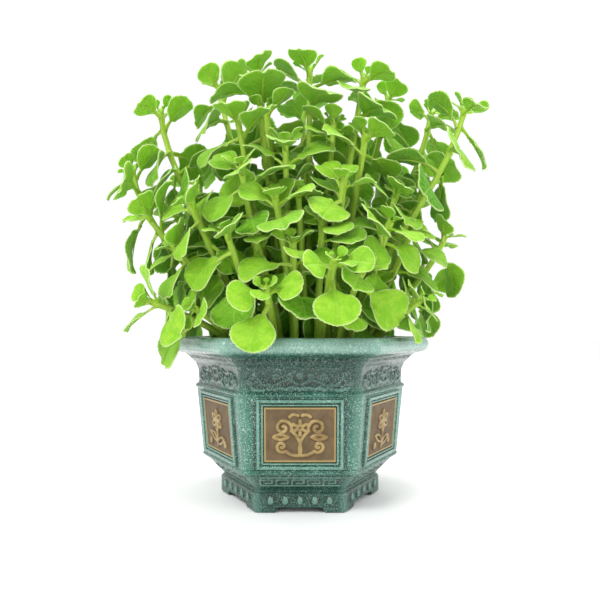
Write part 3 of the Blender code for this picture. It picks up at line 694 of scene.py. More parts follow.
# The fine pot: one closed surface whose columns keep to the frame's upright edges.
ROUNDING = 0.0035
RIM_ROUNDING = 0.006
ROW_PITCH = 0.0008
BED_EDGE = 0.0006
NECK_RELIEF = 0.0009
FRET_RELIEF = 0.0010
BEAD_RELIEF = 0.0016
NOTCH_RELIEF = 0.0008
CENTRE_HALF = FRAME_WIDTH / 2 + 0.0012


def side_columns():
    """Places across a side, from its middle to the frame's edge in metres, then as shares of what is left."""
    bed = PLAQUE_WIDTH / 2 + CLEARANCE
    inner = np.linspace(0.0, bed - BED_EDGE, 30)
    edges = bed + np.array([-0.00015, 0.0003, 0.0009, 0.0014, 0.0019, 0.0024, 0.0030, 0.0038, 0.0040, 0.0044])
    outer = FRAME_WIDTH / 2 + np.array([-0.0004, 0.0, 0.0005, 0.0012])
    centre = np.concatenate([inner, edges, outer])
    share = np.linspace(0.0, 1.0, 15)[1:]
    return centre, 1 - (1 - share) ** 1.3


def section(radius, rounding):
    """The level section's points, side by side: their places across the side, and out from the axis."""
    centre, share = side_columns()
    rounding = min(rounding, radius * APOTHEM * 0.999)
    tangent = rounding * math.tan(math.pi / SIDES)
    straight = radius / 2 - tangent
    end = straight + rounding * math.sin(math.pi / SIDES)
    fixed = min(CENTRE_HALF, end * 0.86)
    half = np.concatenate([centre * fixed / CENTRE_HALF, fixed + share * (end - fixed)])
    u = np.concatenate([-half[::-1], half[1:-1]])
    over = np.maximum(0.0, np.abs(u) - straight)
    inset = rounding - np.sqrt(np.maximum(0.0, rounding ** 2 - over ** 2))
    return u, radius * APOTHEM - inset


def spiral(x, z, radius, start, turns, shrink=0.85):
    t = np.linspace(0.0, 1.0, 60)
    r = radius * (1 - shrink * t)
    a = math.radians(start) + math.tau * turns * t
    return np.stack([x + r * np.cos(a), z + r * np.sin(a)], -1)


def arc_line(x0, z0, x1, z1, bow):
    """A bowed line between two points: bow is its height over its chord."""
    t = np.linspace(0.0, 1.0, 40)
    dx, dz = x1 - x0, z1 - z0
    rise = 4 * bow * t * (1 - t)
    return np.stack([x0 + dx * t - dz * rise, z0 + dz * t + dx * rise], -1)


def lines(*corners):
    """A polyline through corners, as points close together."""
    runs = [np.linspace(a, b, 16) for a, b in zip(corners, corners[1:])]
    return np.concatenate(runs)


def mirrored(strokes):
    return strokes + [stroke * (-1, 1) for stroke in strokes]


def stroke_relief(u, z, strokes, width):
    """From 0 off the strokes to 1 on their crests, with a round back."""
    cloud = np.concatenate(strokes)
    flat = np.column_stack([u.ravel(), z.ravel()])
    nearest = np.full(len(flat), 1.0)
    for low in range(0, len(flat), 4000):
        part = flat[low:low + 4000]
        gaps = part[:, None, :] - cloud[None]
        nearest[low:low + 4000] = np.sqrt((gaps ** 2).sum(-1).min(1))
    return np.sqrt(np.clip(1 - (nearest / width) ** 2, 0.0, 1.0)).reshape(u.shape)


def neck_strokes(flowered):
    """The band under the rim, in millimetres from the middle of the band: clouds in front, blooms beside."""
    if flowered:
        strokes = [spiral(9, 1, 4.5, 200, 1.2), spiral(19, -1.5, 4.8, 20, -1.3), spiral(29, 1.5, 4.2, 180, 1.2)]
        strokes += [arc_line(0, -5, 13, -5.5, 0.12), arc_line(13, 5.5, 25, 4.5, -0.15),
                    arc_line(24, -6, 35, -2, -0.15), spiral(35, -2.5, 2.6, 90, 1.0)]
        strokes += [arc_line(0, 6, 5, 1, 0.3), arc_line(0, 1, 4.5, 6.5, -0.3), arc_line(0, -2, 5, -1, 0.4)]
        return mirrored(strokes)
    strokes = [arc_line(2, -2.5, 14, -1.5, 0.16), arc_line(14, -1.5, 26, -2.5, -0.16),
               arc_line(26, -2.5, 34, 1.5, 0.2)]
    strokes += [spiral(7, 2.2, 2.8, 230, 1.3), spiral(16.5, 1.8, 2.6, 200, -1.2), spiral(21, -4.6, 2.3, 60, 1.2),
                spiral(30, 3.6, 2.3, 250, 1.2), spiral(34, -1.6, 2.2, 90, -1.1), spiral(0, 3.4, 2.2, 270, 1.0)]
    strokes += [arc_line(0, -6, 9, -5.6, 0.1), arc_line(10, -6, 18, -6.4, 0.12)]
    strokes.append(arc_line(24, -6.6, 33, -5.2, -0.1))
    return mirrored(strokes)


def fret_strokes():
    """A key fret, five keys to a side, in millimetres from its middle."""
    strokes = []
    for k in range(-2, 3):
        x = 11.0 * k
        strokes.append(lines((x - 5.5, -3.4), (x - 5.5, 1.6), (x + 2.6, 1.6), (x + 2.6, -1.4), (x - 2.2, -1.4)))
        strokes.append(lines((x - 5.5, -3.4), (x + 5.5, -3.4)))
        strokes.append(lines((x - 5.5, 3.6), (x + 5.5, 3.6)))
    return strokes


def side_relief(u, z, flowered):
    """How far a side's surface stands out of its plain slope, in metres."""
    middle = BODY_FOOT + BODY_HEIGHT / 2
    across = np.abs(u)
    up = np.abs(z - middle)
    beyond_bed = np.maximum(across - PLAQUE_WIDTH / 2, up - PLAQUE_HEIGHT / 2) - CLEARANCE
    inside_frame = np.minimum(FRAME_WIDTH / 2 - across, FRAME_HEIGHT / 2 - up)
    bed = FRAME_RELIEF - PLAQUE_INSET - PLAQUE_THICKNESS - CLEARANCE
    steps = np.array([-0.0002, 0.0001, 0.0003, 0.0008, 0.0013, 0.0017, 0.0022, 0.0026, 0.0031, 0.0050])
    heights = np.array([bed, bed, 0.0007, 0.0013, 0.0013, 0.0003, 0.0003, 0.0016, 0.0018, 0.0018])
    moulded = np.interp(beyond_bed, steps, heights)
    rise = smooth_step(-0.0001, 0.0008, inside_frame)
    relief = np.where(inside_frame > 0, moulded * rise, 0.0)
    neck = middle + BODY_HEIGHT / 2 + NECK_HEIGHT * 0.40
    band = smooth_step(0.0105, 0.0085, np.abs(z - neck))
    relief += NECK_RELIEF * (1.25 if flowered else 0.8) * band * stroke_relief(
        u * 1000, (z - neck) * 1000, neck_strokes(flowered), 1.15)
    fret = FOOT_RING_HEIGHT + TAPER_HEIGHT * 0.50
    on_fret = smooth_step(0.0062, 0.0050, np.abs(z - fret)) * smooth_step(0.0300, 0.0285, across)
    relief += FRET_RELIEF * on_fret * stroke_relief(u * 1000, (z - fret) * 1000, fret_strokes(), 0.85)
    for k in range(-2, 3):
        from_bead = np.hypot(u - 0.0104 * k, (z - 0.0082) * np.where(z > 0.0082, 0.62, 1.0))
        relief += BEAD_RELIEF * np.sqrt(np.clip(1 - (from_bead / 0.0023) ** 2, 0.0, 1.0))
    under_rim = BODY_TOP + NECK_HEIGHT - 0.0035
    from_notch = np.hypot((np.mod(u + 0.0022, 0.0044) - 0.0022) * 1.0, z - under_rim)
    relief -= NOTCH_RELIEF * smooth_step(0.0014, 0.0006, from_notch) * smooth_step(0.046, 0.044, across)
    return relief


def fine_profile():
    """(corner radius, height, rounding, 1 where relief shows), from the drain hole round the whole pot."""
    drain = DRAIN_DIAMETER / 2 / APOTHEM
    roll = BODY_TOP + NECK_HEIGHT
    outside = [
        (FOOT_RADIUS - 0.0010, 0.0), (FOOT_RADIUS, 0.0012), (FOOT_RADIUS, FOOT_RING_HEIGHT - 0.0030),
        (FOOT_RADIUS - 0.0004, FOOT_RING_HEIGHT - 0.0016), (TAPER_FOOT_RADIUS + 0.0002, FOOT_RING_HEIGHT),
        (TAPER_FOOT_RADIUS + 0.0014, FOOT_RING_HEIGHT + 0.0016),
        (BODY_FOOT_RADIUS - 0.0048, BODY_FOOT - 0.0048), (BODY_FOOT_RADIUS - 0.0030, BODY_FOOT - 0.0036),
        (BODY_FOOT_RADIUS - 0.0032, BODY_FOOT - 0.0028), (BODY_FOOT_RADIUS - 0.0002, BODY_FOOT - 0.0024),
        (BODY_FOOT_RADIUS + 0.0006, BODY_FOOT - 0.0012), (BODY_FOOT_RADIUS + 0.0003, BODY_FOOT - 0.0002),
        (BODY_FOOT_RADIUS - 0.0004, BODY_FOOT + 0.0004), (BODY_FOOT_RADIUS + 0.0001, BODY_FOOT + 0.0014),
        (BODY_TOP_RADIUS, BODY_TOP - 0.0006), (BODY_TOP_RADIUS + 0.0008, BODY_TOP),
        (BODY_TOP_RADIUS + MOULDING, BODY_TOP + 0.0012), (BODY_TOP_RADIUS + 0.0006, BODY_TOP + 0.0024),
        (NECK_RADIUS + 0.0002, BODY_TOP + 0.0036), (NECK_RADIUS, BODY_TOP + 0.0060),
        (NECK_RADIUS + 0.0004, BODY_TOP + NECK_HEIGHT * 0.50), (NECK_RADIUS + 0.0026, roll - 0.0085),
        (NECK_TOP_RADIUS - 0.0012, roll - 0.0042), (NECK_TOP_RADIUS + 0.0022, roll - 0.0012),
        (RIM_RADIUS - 0.0048, roll + 0.0004), (RIM_RADIUS - 0.0018, roll + 0.0020),
        (RIM_RADIUS - 0.0004, roll + 0.0046), (RIM_RADIUS, roll + 0.0068), (RIM_RADIUS - 0.0008, roll + 0.0090),
        (RIM_RADIUS - 0.0024, POT_HEIGHT - 0.0012), (RIM_RADIUS - 0.0046, POT_HEIGHT - 0.0002),
    ]
    inside = [
        (RIM_OPENING_RADIUS + 0.0056, POT_HEIGHT), (RIM_OPENING_RADIUS + 0.0026, POT_HEIGHT - 0.0010),
        (RIM_OPENING_RADIUS + 0.0006, POT_HEIGHT - 0.0034), (RIM_OPENING_RADIUS, roll + 0.0052),
        inner_neck(), inner_foot(), (drain + 0.001, FLOOR_TOP), (drain, FLOOR_TOP - 0.001),
        (drain, FOOT_RECESS_HEIGHT + 0.001), (drain + 0.001, FOOT_RECESS_HEIGHT),
        (FOOT_RECESS_RADIUS - 0.001, FOOT_RECESS_HEIGHT), (FOOT_RECESS_RADIUS, FOOT_RECESS_HEIGHT - 0.001),
        (FOOT_RECESS_RADIUS, 0.001), (FOOT_RECESS_RADIUS + 0.001, 0.0),
    ]
    rows = []
    for (r0, z0), (r1, z1) in zip(outside, outside[1:]):
        steps = max(1, math.ceil(abs(z1 - z0) / ROW_PITCH))
        rows += [(r0 + (r1 - r0) * k / steps, z0 + (z1 - z0) * k / steps, ROUNDING, 1.0) for k in range(steps)]
    frame_rows = [BODY_FOOT + BODY_HEIGHT / 2 + way * (half + step) for way in (-1, 1) for half, step in [
        (PLAQUE_HEIGHT / 2, s) for s in (0.0002, 0.0005, 0.0009, 0.0012, 0.0016, 0.0020, 0.0026, 0.0031)] + [
        (FRAME_HEIGHT / 2, s) for s in (-0.0008, -0.0004, 0.0, 0.0003)]]
    slope = (BODY_TOP_RADIUS - BODY_FOOT_RADIUS) / BODY_HEIGHT
    rows += [(BODY_FOOT_RADIUS + slope * (z - BODY_FOOT), z, ROUNDING, 1.0) for z in frame_rows]
    body = [row for row in rows if BODY_FOOT + 0.0014 < row[1] < BODY_TOP - 0.0006]
    below = [row for row in rows if row[1] <= BODY_FOOT + 0.0014]
    above = [row for row in rows if row[1] >= BODY_TOP - 0.0006]
    rows = below + sorted(body, key=lambda row: row[1]) + above
    rounds = [(r, z, RIM_ROUNDING if z > roll else r if r < FOOT_RECESS_RADIUS / 2 else ROUNDING, 0.0)
              for r, z in [outside[-1]] + inside]
    upper = [(r, z, RIM_ROUNDING if z > roll + 0.001 else rounding, shows) for r, z, rounding, shows in rows]
    return upper + rounds


def box_blur(field, rows, columns):
    """The field averaged over a window, as a measure of what is high or low beside its surroundings."""
    for axis, reach in ((0, rows), (1, columns)):
        total = sum(np.roll(field, k, axis) for k in range(-reach, reach + 1))
        field = total / (2 * reach + 1)
    return field


def dress_pot(finish):
    profile = fine_profile()
    sides = []
    for flowered in (False, True):
        u = np.stack([section(r, rounding)[0] for r, _, rounding, _ in profile])
        out = np.stack([section(r, rounding)[1] for r, _, rounding, _ in profile])
        z = np.repeat(np.array([[row[1]] for row in profile]), u.shape[1], 1)
        shows = np.array([[row[3]] for row in profile])
        relief = side_relief(u, z, flowered) * shows
        half = FOOT_ARCH_WIDTH / 2
        arch = FOOT_ARCH_HEIGHT * smooth_step(half + 0.0008, half - 0.0016, np.abs(u))
        foot = (z < FOOT_RECESS_HEIGHT * 0.9) & (out > FOOT_RECESS_RADIUS * APOTHEM - 0.002)
        z = np.where(foot, np.maximum(z, arch), z)
        sides.append((u, out + relief, z, relief))
    points, reliefs = [], []
    for side in range(SIDES):
        u, out, z, relief = sides[side % 3 != 0]
        turn = math.tau * side / SIDES
        x = u * math.cos(turn) + out * math.sin(turn)
        y = u * math.sin(turn) - out * math.cos(turn)
        points.append(np.stack([x, y, z], -1))
        reliefs.append(relief)
    grid = np.concatenate(points, 1)
    relief = np.concatenate(reliefs, 1)
    proud = (relief - box_blur(relief, 3, 4)) * 1600
    rows, columns = relief.shape
    quads = tube_quads(rows + 1, columns)
    quads = np.where(quads >= rows * columns, quads - rows * columns, quads)
    z = grid[..., 2]
    corner = np.abs(np.concatenate([sides[0][0]] * SIDES, 1)) / (np.hypot(grid[..., 0], grid[..., 1]) / 2)
    values = {
        "proud": np.clip(proud, -1, 1).ravel(),
        "rim": smooth_step(BODY_TOP + NECK_HEIGHT + 0.0005, BODY_TOP + NECK_HEIGHT + 0.0040, z).ravel(),
        "corner": smooth_step(0.86, 0.98, corner).ravel(),
        "height": (z / POT_HEIGHT).ravel(),
    }
    return piece_of("glazed_pot", grid.reshape(-1, 3), quads, np.zeros((0, 3), int), finish,
                    ["pot"], values)


# The plaques.
PLAQUE_COLUMNS = 110
PLAQUE_ROWS = 94
GROUND = 0.00035
ORNAMENT = 0.0013
BORDER = 0.0011
BORDER_RAISE = 0.00055


def scroll_strokes():
    """A small flower between two pairs of leafy scrolls, in millimetres from the plaque's middle."""
    scrolls = [
        spiral(11.5, 5.0, 6.0, 200, -1.3), arc_line(0, -14, 5.9, 2.9, 0.15), spiral(12.5, -8.0, 4.2, 230, 1.2),
        arc_line(0, -14, 9.8, -11.2, -0.12), arc_line(8, -1.5, 18, -1.5, 0.16),
        arc_line(8, -1.5, 18, -1.5, -0.16),
        arc_line(1.5, 13.5, 7, 12.5, 0.2),
    ]
    petals = []
    for k in range(6):
        a = math.radians(60 * k + 30)
        across, up = math.cos(a), math.sin(a)
        petals.append(arc_line(1.8 * across, 5 + 1.8 * up, 5 * across, 5 + 5 * up, 0))
    return mirrored(scrolls) + petals


def bloom_strokes():
    """A flower over two leaves, in millimetres from the plaque's middle."""
    petals = []
    for k in range(6):
        a = math.radians(60 * k + 30)
        tip = (9.0 * math.cos(a), 4.5 + 8.0 * math.sin(a))
        foot = (2.0 * math.cos(a), 4.5 + 2.0 * math.sin(a))
        petals += [arc_line(*foot, *tip, 0.28), arc_line(*foot, *tip, -0.28)]
    stalk = [arc_line(0, -4, -1.5, -15, 0.08), arc_line(-1, -11, -13, -5, -0.2),
             arc_line(-1, -11, -13, -5, 0.12),
             arc_line(-1, -13, 12, -8, 0.2), arc_line(-1, -13, 12, -8, -0.12), spiral(0, 4.5, 1.6, 0, 1.0),
             spiral(13.5, -12.0, 2.2, 90, 1.1), spiral(-14, -12.5, 2.2, 90, -1.1)]
    return petals + stalk


def dress_plaque(side, finish):
    half = np.array([PLAQUE_WIDTH, PLAQUE_HEIGHT]) / 2
    u = np.linspace(-half[0], half[0], PLAQUE_COLUMNS)
    v = np.linspace(-half[1], half[1], PLAQUE_ROWS)
    u = np.concatenate([[-half[0], -half[0] + 0.0003], u[1:-1], [half[0] - 0.0003, half[0]]])
    v = np.concatenate([[-half[1], -half[1] + 0.0003], v[1:-1], [half[1] - 0.0003, half[1]]])
    u, v = np.meshgrid(u, v)
    edge = np.minimum(half[0] - np.abs(u), half[1] - np.abs(v))
    strokes, width = (scroll_strokes(), 1.35) if side % 3 == 0 else (bloom_strokes(), 1.15)
    ornament = stroke_relief(u * 1000, v * 1000, strokes, width)
    border = smooth_step(BORDER + 0.0004, BORDER, edge)
    out = GROUND + ORNAMENT * ornament ** 0.8 + BORDER_RAISE * border * smooth_step(-0.0002, 0.0004, edge)
    rows, columns = u.shape
    high = FRAME_RELIEF - PLAQUE_INSET
    back = np.full(u.size, high - PLAQUE_THICKNESS)
    front = np.column_stack([u.ravel(), v.ravel(), out.ravel()])
    behind = np.column_stack([u.ravel(), v.ravel(), back])
    quads = grid_quads(rows, columns)
    k = np.arange(rows * columns).reshape(rows, columns)
    loop = np.concatenate([k[0, :-1], k[:-1, -1], k[-1, :0:-1], k[:0:-1, 0]])
    after = np.roll(loop, -1)
    count = rows * columns
    wall = np.stack([loop, loop + count, after + count, after], -1)
    points = np.concatenate([front, behind])
    matrix = np.array(side_axes(side))
    points = points @ matrix[:3, :3].T + matrix[:3, 3]
    values = {
        "proud": np.concatenate([ornament.ravel(), np.zeros(count)]),
        "border": np.concatenate([border.ravel(), np.zeros(count)]),
    }
    return piece_of(f"relief_plaque_{side + 1}", points, np.concatenate([quads, quads[:, ::-1] + count, wall]),
                    np.zeros((0, 3), int), finish, [f"plaque_{side + 1}"], values)


# The soil.
SOIL_RINGS = 44
SOIL_COLUMNS = 180
CRUMBS = 1500


def uneven(x, y, dice, size, waves):
    """A smooth random height field: waves of about one size, in every direction."""
    total = np.zeros_like(x)
    for _ in range(waves):
        a = dice.uniform(0, math.tau)
        k = math.tau / size * dice.uniform(0.7, 1.4)
        total += np.sin(k * (x * math.cos(a) + y * math.sin(a)) + dice.uniform(0, math.tau))
    return total / math.sqrt(waves)


def dress_soil(finish, dice):
    turns = np.arange(SOIL_COLUMNS) * math.tau / SOIL_COLUMNS
    side = np.mod(turns, math.tau / SIDES) - math.pi / SIDES
    reach = APOTHEM / np.cos(side)
    wall = inner_radius(SOIL_TOP) - CLEARANCE / APOTHEM
    share = np.linspace(1.0, 0.0, SOIL_RINGS + 1)[:-1]
    neck_radius, neck_z = inner_neck()
    foot_radius, foot_z = inner_foot()
    rings = [(foot_radius * 0.03, foot_z + CLEARANCE), (foot_radius - CLEARANCE / APOTHEM, foot_z + CLEARANCE),
             (neck_radius - CLEARANCE / APOTHEM, neck_z)]
    rings += [(wall * s, None) for s in share]
    points = []
    for radius, z in rings:
        x, y = radius * reach * np.cos(turns), radius * reach * np.sin(turns)
        if z is None:
            z = SOIL_TOP - 0.0008 + 0.0006 * uneven(x, y, np.random.default_rng(5), 0.012, 12)
            z = z + 0.0004 * uneven(x, y, np.random.default_rng(6), 0.0045, 14)
        points.append(np.stack([x, y, np.broadcast_to(z, x.shape)], -1))
    ground = np.concatenate(points)
    rows = len(rings)
    ends = np.array([[0, 0, foot_z + CLEARANCE], [0, 0, SOIL_TOP - 0.0008]])
    count = len(ground)
    ring = np.arange(SOIL_COLUMNS)
    after = (ring + 1) % SOIL_COLUMNS
    last = (rows - 1) * SOIL_COLUMNS
    fans = [np.stack([np.full(SOIL_COLUMNS, count), after, ring], -1),
            np.stack([np.full(SOIL_COLUMNS, count + 1), last + ring, last + after], -1)]
    body = [ground, ends]
    tones = [np.full(count + 2, 0.4)]
    count += 2
    lumps = lump_template()
    for _ in range(CRUMBS):
        a, r = dice.uniform(0, math.tau), math.sqrt(dice.uniform(0, 1))
        edge = wall * APOTHEM / math.cos(math.fmod(a, math.tau / SIDES) - math.pi / SIDES) - 0.0022
        size = 0.0005 + 0.0014 * dice.uniform(0, 1) ** 3
        centre = (edge * r * math.cos(a), edge * r * math.sin(a), SOIL_TOP - 0.0006 + 0.25 * size)
        stretch = dice.uniform(0.7, 1.3, 3) * size
        lump, sides = lumps
        rough = 1 + 0.22 * np.sin(lump @ dice.uniform(-4, 4, (3, 1)))
        body.append(lump * rough * stretch + centre)
        fans.append(sides + count)
        tones.append(np.full(len(lump), dice.uniform(0, 1)))
        count += len(lump)
    points = np.concatenate(body)
    return piece_of("crumbly_soil", points, tube_quads(rows, SOIL_COLUMNS), np.concatenate(fans), finish,
                    ["potting_soil"], {"tone": np.concatenate(tones)})


def lump_template():
    """An icosahedron's points, on the unit sphere, and its faces."""
    g = (1 + math.sqrt(5)) / 2
    points = np.array([(-1, g, 0), (1, g, 0), (-1, -g, 0), (1, -g, 0), (0, -1, g), (0, 1, g), (0, -1, -g),
                       (0, 1, -g), (g, 0, -1), (g, 0, 1), (-g, 0, -1), (-g, 0, 1)])
    faces = np.array([(0, 11, 5), (0, 5, 1), (0, 1, 7), (0, 7, 10), (0, 10, 11), (1, 5, 9), (5, 11, 4),
                      (11, 10, 2), (10, 7, 6), (7, 1, 8), (3, 9, 4), (3, 4, 2), (3, 2, 6), (3, 6, 8), (3, 8, 9),
                      (4, 9, 5), (2, 4, 11), (6, 2, 10), (8, 6, 7), (9, 8, 1)])
    return points / math.hypot(1, g), faces


# Materials: each is a node tree of its own, in the object's own coordinates.


# What share of a lit colour is the surface's own: the rest is how much light falls on it.
LIT_SHARE = 0.66


class Paint:
    """A Principled material and short ways to wire its nodes."""

    def __init__(self, name):
        self.material = bpy.data.materials.new(name)
        self.material.use_nodes = True
        self.tree = self.material.node_tree
        self.shader = self.tree.nodes["Principled BSDF"]
        self.place = self.node("ShaderNodeTexCoord").outputs["Object"]

    def node(self, kind, **settings):
        made = self.tree.nodes.new(kind)
        for key, value in settings.items():
            setattr(made, key, value)
        return made

    def put(self, value, socket):
        if isinstance(value, bpy.types.NodeSocket):
            self.tree.links.new(value, socket)
        elif isinstance(value, tuple) and len(value) == 3 and socket.type == "RGBA":
            socket.default_value = (*value, 1.0)
        else:
            socket.default_value = value

    def set(self, **values):
        for key, value in values.items():
            self.put(value, self.shader.inputs[key.replace("_", " ")])

    def value(self, name, output="Fac"):
        return self.node("ShaderNodeAttribute", attribute_name=name).outputs[output]

    def math(self, operation, a, b=0.0):
        made = self.node("ShaderNodeMath", operation=operation)
        self.put(a, made.inputs[0])
        self.put(b, made.inputs[1])
        return made.outputs[0]

    def step(self, value, low, high, to_low=0.0, to_high=1.0):
        made = self.node("ShaderNodeMapRange", interpolation_type="SMOOTHSTEP")
        for socket, number in zip(made.inputs, (value, low, high, to_low, to_high)):
            self.put(number, socket)
        return made.outputs[0]

    def mix(self, share, a, b):
        made = self.node("ShaderNodeMix", data_type="RGBA", clamp_factor=True)
        self.put(share, made.inputs[0])
        self.put(a, made.inputs[6])
        self.put(b, made.inputs[7])
        return made.outputs[2]

    def tint(self, under, over, mask, share):
        """The colour under the mask's share of the colour over it."""
        return self.mix(self.math("MULTIPLY", mask, share), under, over)

    def noise(self, scale, detail=2.0, roughness=0.5, at=None):
        made = self.node("ShaderNodeTexNoise")
        self.put(at or self.place, made.inputs["Vector"])
        self.put(scale, made.inputs["Scale"])
        self.put(detail, made.inputs["Detail"])
        self.put(roughness, made.inputs["Roughness"])
        return made.outputs["Fac"]

    def shifted(self, metres):
        """The object's own coordinates moved aside, so that a second noise doesn't repeat the first."""
        made = self.node("ShaderNodeVectorMath", operation="ADD")
        self.put(self.place, made.inputs[0])
        made.inputs[1].default_value = (metres, metres, metres)
        return made.outputs[0]

    def cells(self, scale, feature="F1", at=None):
        made = self.node("ShaderNodeTexVoronoi", feature=feature)
        self.put(at or self.place, made.inputs["Vector"])
        self.put(scale, made.inputs["Scale"])
        return made.outputs["Distance"]

    def bump(self, height, strength, distance, below=None):
        made = self.node("ShaderNodeBump")
        self.put(height, made.inputs["Height"])
        self.put(strength, made.inputs["Strength"])
        self.put(distance, made.inputs["Distance"])
        if below is not None:
            self.put(below, made.inputs["Normal"])
        return made.outputs["Normal"]


def linear(red, green, blue):
    """A lit colour as it shows on a screen, each part from 0 to 255, as the shader's linear colour."""
    parts = [part / 255 for part in (red, green, blue)]
    return tuple(LIT_SHARE * (p / 12.92 if p < 0.04 else ((p + 0.055) / 1.055) ** 2.4) for p in parts)


def leaf_finish():
    paint = Paint("leaf")
    tone, rim, pale, under = (paint.value(name) for name in ("tone", "rim", "pale", "under"))
    spread = paint.node("ShaderNodeSeparateXYZ")
    paint.put(paint.value("place", "Vector"), spread.inputs[0])
    along_leaf, across_leaf = spread.outputs[0], spread.outputs[1]
    aside = paint.math("ABSOLUTE", across_leaf)
    wander = paint.math("MULTIPLY", paint.math("SUBTRACT", paint.noise(260.0), 0.5), 0.006)
    forward = paint.math("ADD", paint.math("SUBTRACT", along_leaf, paint.math("MULTIPLY", aside, 0.75)), wander)
    ladder = paint.math("FRACT", paint.math("DIVIDE", forward, VEIN_PITCH))
    from_vein = paint.math("ABSOLUTE", paint.math("SUBTRACT", ladder, 0.5))
    side_vein = paint.step(from_vein, 0.36, 0.5)
    midrib = paint.step(aside, 0.0011, 0.0002)
    blade = paint.math("SUBTRACT", 1.0, paint.step(pale, 0.5, 0.75))
    veins = paint.math("MULTIPLY", paint.math("MAXIMUM", side_vein, midrib), blade)
    net = paint.cells(620.0, "F1")
    crinkle = paint.noise(900.0, 3.0, 0.6)
    fuzz = paint.noise(4200.0, 2.0, 0.7)
    mottle = paint.noise(150.0, 3.0, 0.6)
    deep = paint.mix(paint.step(mottle, 0.35, 0.70), LEAF_DEEP, LEAF_MIDDLE)
    bright = paint.mix(paint.step(mottle, 0.35, 0.70), LEAF_BRIGHT, LEAF_YOUNG)
    colour = paint.mix(paint.step(tone, 0.0, 1.0), bright, deep)
    colour = paint.tint(colour, LEAF_NET, paint.step(net, 0.25, 0.75), 0.34)
    colour = paint.tint(colour, LEAF_VEIN, veins, 0.45)
    colour = paint.tint(colour, LEAF_HAIR, paint.step(fuzz, 0.52, 0.72), 0.30)
    colour = paint.tint(colour, LEAF_UNDER, under, 0.35)
    colour = paint.mix(paint.math("MULTIPLY", paint.math("MULTIPLY", pale, 0.55), blade), colour, LEAF_YOUNG)
    edge = paint.math("MULTIPLY", paint.step(rim, 0.90, 1.0), 0.85)
    colour = paint.mix(edge, colour, LEAF_RIM)
    streak = paint.step(across_leaf, -0.001, 0.001)
    stem = paint.tint(STEM_GREEN, STEM_PALE, streak, 0.7)
    stem = paint.tint(stem, STEM_HAIR, paint.step(fuzz, 0.5, 0.7), 0.35)
    colour = paint.mix(paint.step(pale, 0.5, 0.75), colour, stem)
    rough = paint.step(fuzz, 0.3, 0.7, 0.50, 0.72)
    normal = paint.bump(fuzz, 0.30, 0.00025)
    normal = paint.bump(paint.math("ADD", crinkle, paint.math("MULTIPLY", net, -0.6)), 0.45, 0.0006, normal)
    normal = paint.bump(paint.math("MULTIPLY", veins, -1.0), 0.45, 0.0007, normal)
    paint.set(Base_Color=colour, Roughness=rough, Normal=normal, Subsurface_Weight=0.28,
              Subsurface_Radius=(0.0016, 0.0026, 0.0006), Subsurface_Scale=1.0, Sheen_Weight=0.14,
              Sheen_Roughness=0.35, Sheen_Tint=(0.80, 0.95, 0.55, 1.0), Specular_IOR_Level=0.20)
    return paint.material


def glaze_finish():
    paint = Paint("green_glaze")
    proud, rim, corner, height = (paint.value(name) for name in ("proud", "rim", "corner", "height"))
    flow = paint.noise(38.0, 3.0, 0.6)
    colour = paint.mix(paint.step(flow, 0.30, 0.72), GLAZE_DEEP, GLAZE_MIDDLE)
    # Painted shade: the concave neck under the rolled rim and the foot under the body's overhang are painted
    # darker.
    neck = paint.math("MULTIPLY", paint.step(height, 0.66, 0.76), paint.step(height, 0.93, 0.88))
    colour = paint.tint(colour, GLAZE_PAINTED_SHADE, neck, 0.88)
    foot = paint.step(height, 0.27, 0.20)
    colour = paint.tint(colour, GLAZE_PAINTED_SHADE, foot, 0.62)
    # Painted shade: where the surface lies below its surroundings, the glaze is painted darker.
    recess_shade = paint.step(proud, -0.05, -0.55)
    colour = paint.tint(colour, GLAZE_RECESS_SHADE, recess_shade, 0.85)
    # Painted highlight: the relief's crests and the sides' corners are painted paler, and less so in the neck.
    crest_and_corner_highlight = paint.math("MAXIMUM", paint.step(proud, 0.10, 0.75), paint.math("MULTIPLY", corner, 0.55))
    painted_highlight_share = paint.math("MULTIPLY", crest_and_corner_highlight, 0.6)
    painted_highlight_share = paint.math("MULTIPLY", painted_highlight_share, paint.step(neck, 1.0, 0.0, 0.4, 1.0))
    colour = paint.mix(painted_highlight_share, colour, GLAZE_HIGHLIGHT)
    # Painted light: the top of the rolled rim is painted paler.
    colour = paint.tint(colour, GLAZE_RIM_LIGHT, rim, 0.72)
    fleck = paint.step(paint.noise(1150.0, 2.0, 0.65), 0.53, 0.62)
    drift = paint.step(paint.noise(95.0, 2.0), 0.25, 0.75, 0.45, 1.0)
    # Fewer flecks show where the neck and foot are painted in shade.
    fewer = paint.step(paint.math("ADD", neck, foot), 0.0, 1.0, 1.0, 0.62)
    share = paint.math("MULTIPLY", paint.math("MULTIPLY", fleck, drift), fewer)
    colour = paint.tint(colour, GLAZE_FLECK, share, 0.72)
    speck = paint.step(paint.noise(1500.0, 2.0, 0.6, paint.shifted(3.0)), 0.60, 0.66)
    colour = paint.tint(colour, GLAZE_SPECK, speck, 0.75)
    lumps = paint.noise(900.0, 2.0, 0.5)
    ripple = paint.noise(160.0, 2.0, 0.5)
    normal = paint.bump(ripple, 0.20, 0.0012)
    normal = paint.bump(lumps, 0.22, 0.00025, normal)
    rough = paint.step(paint.noise(420.0), 0.3, 0.7, 0.22, 0.42)
    paint.set(Base_Color=colour, Roughness=rough, Normal=normal, Coat_Weight=0.30, Coat_Roughness=0.14,
              Specular_IOR_Level=0.35)
    return paint.material


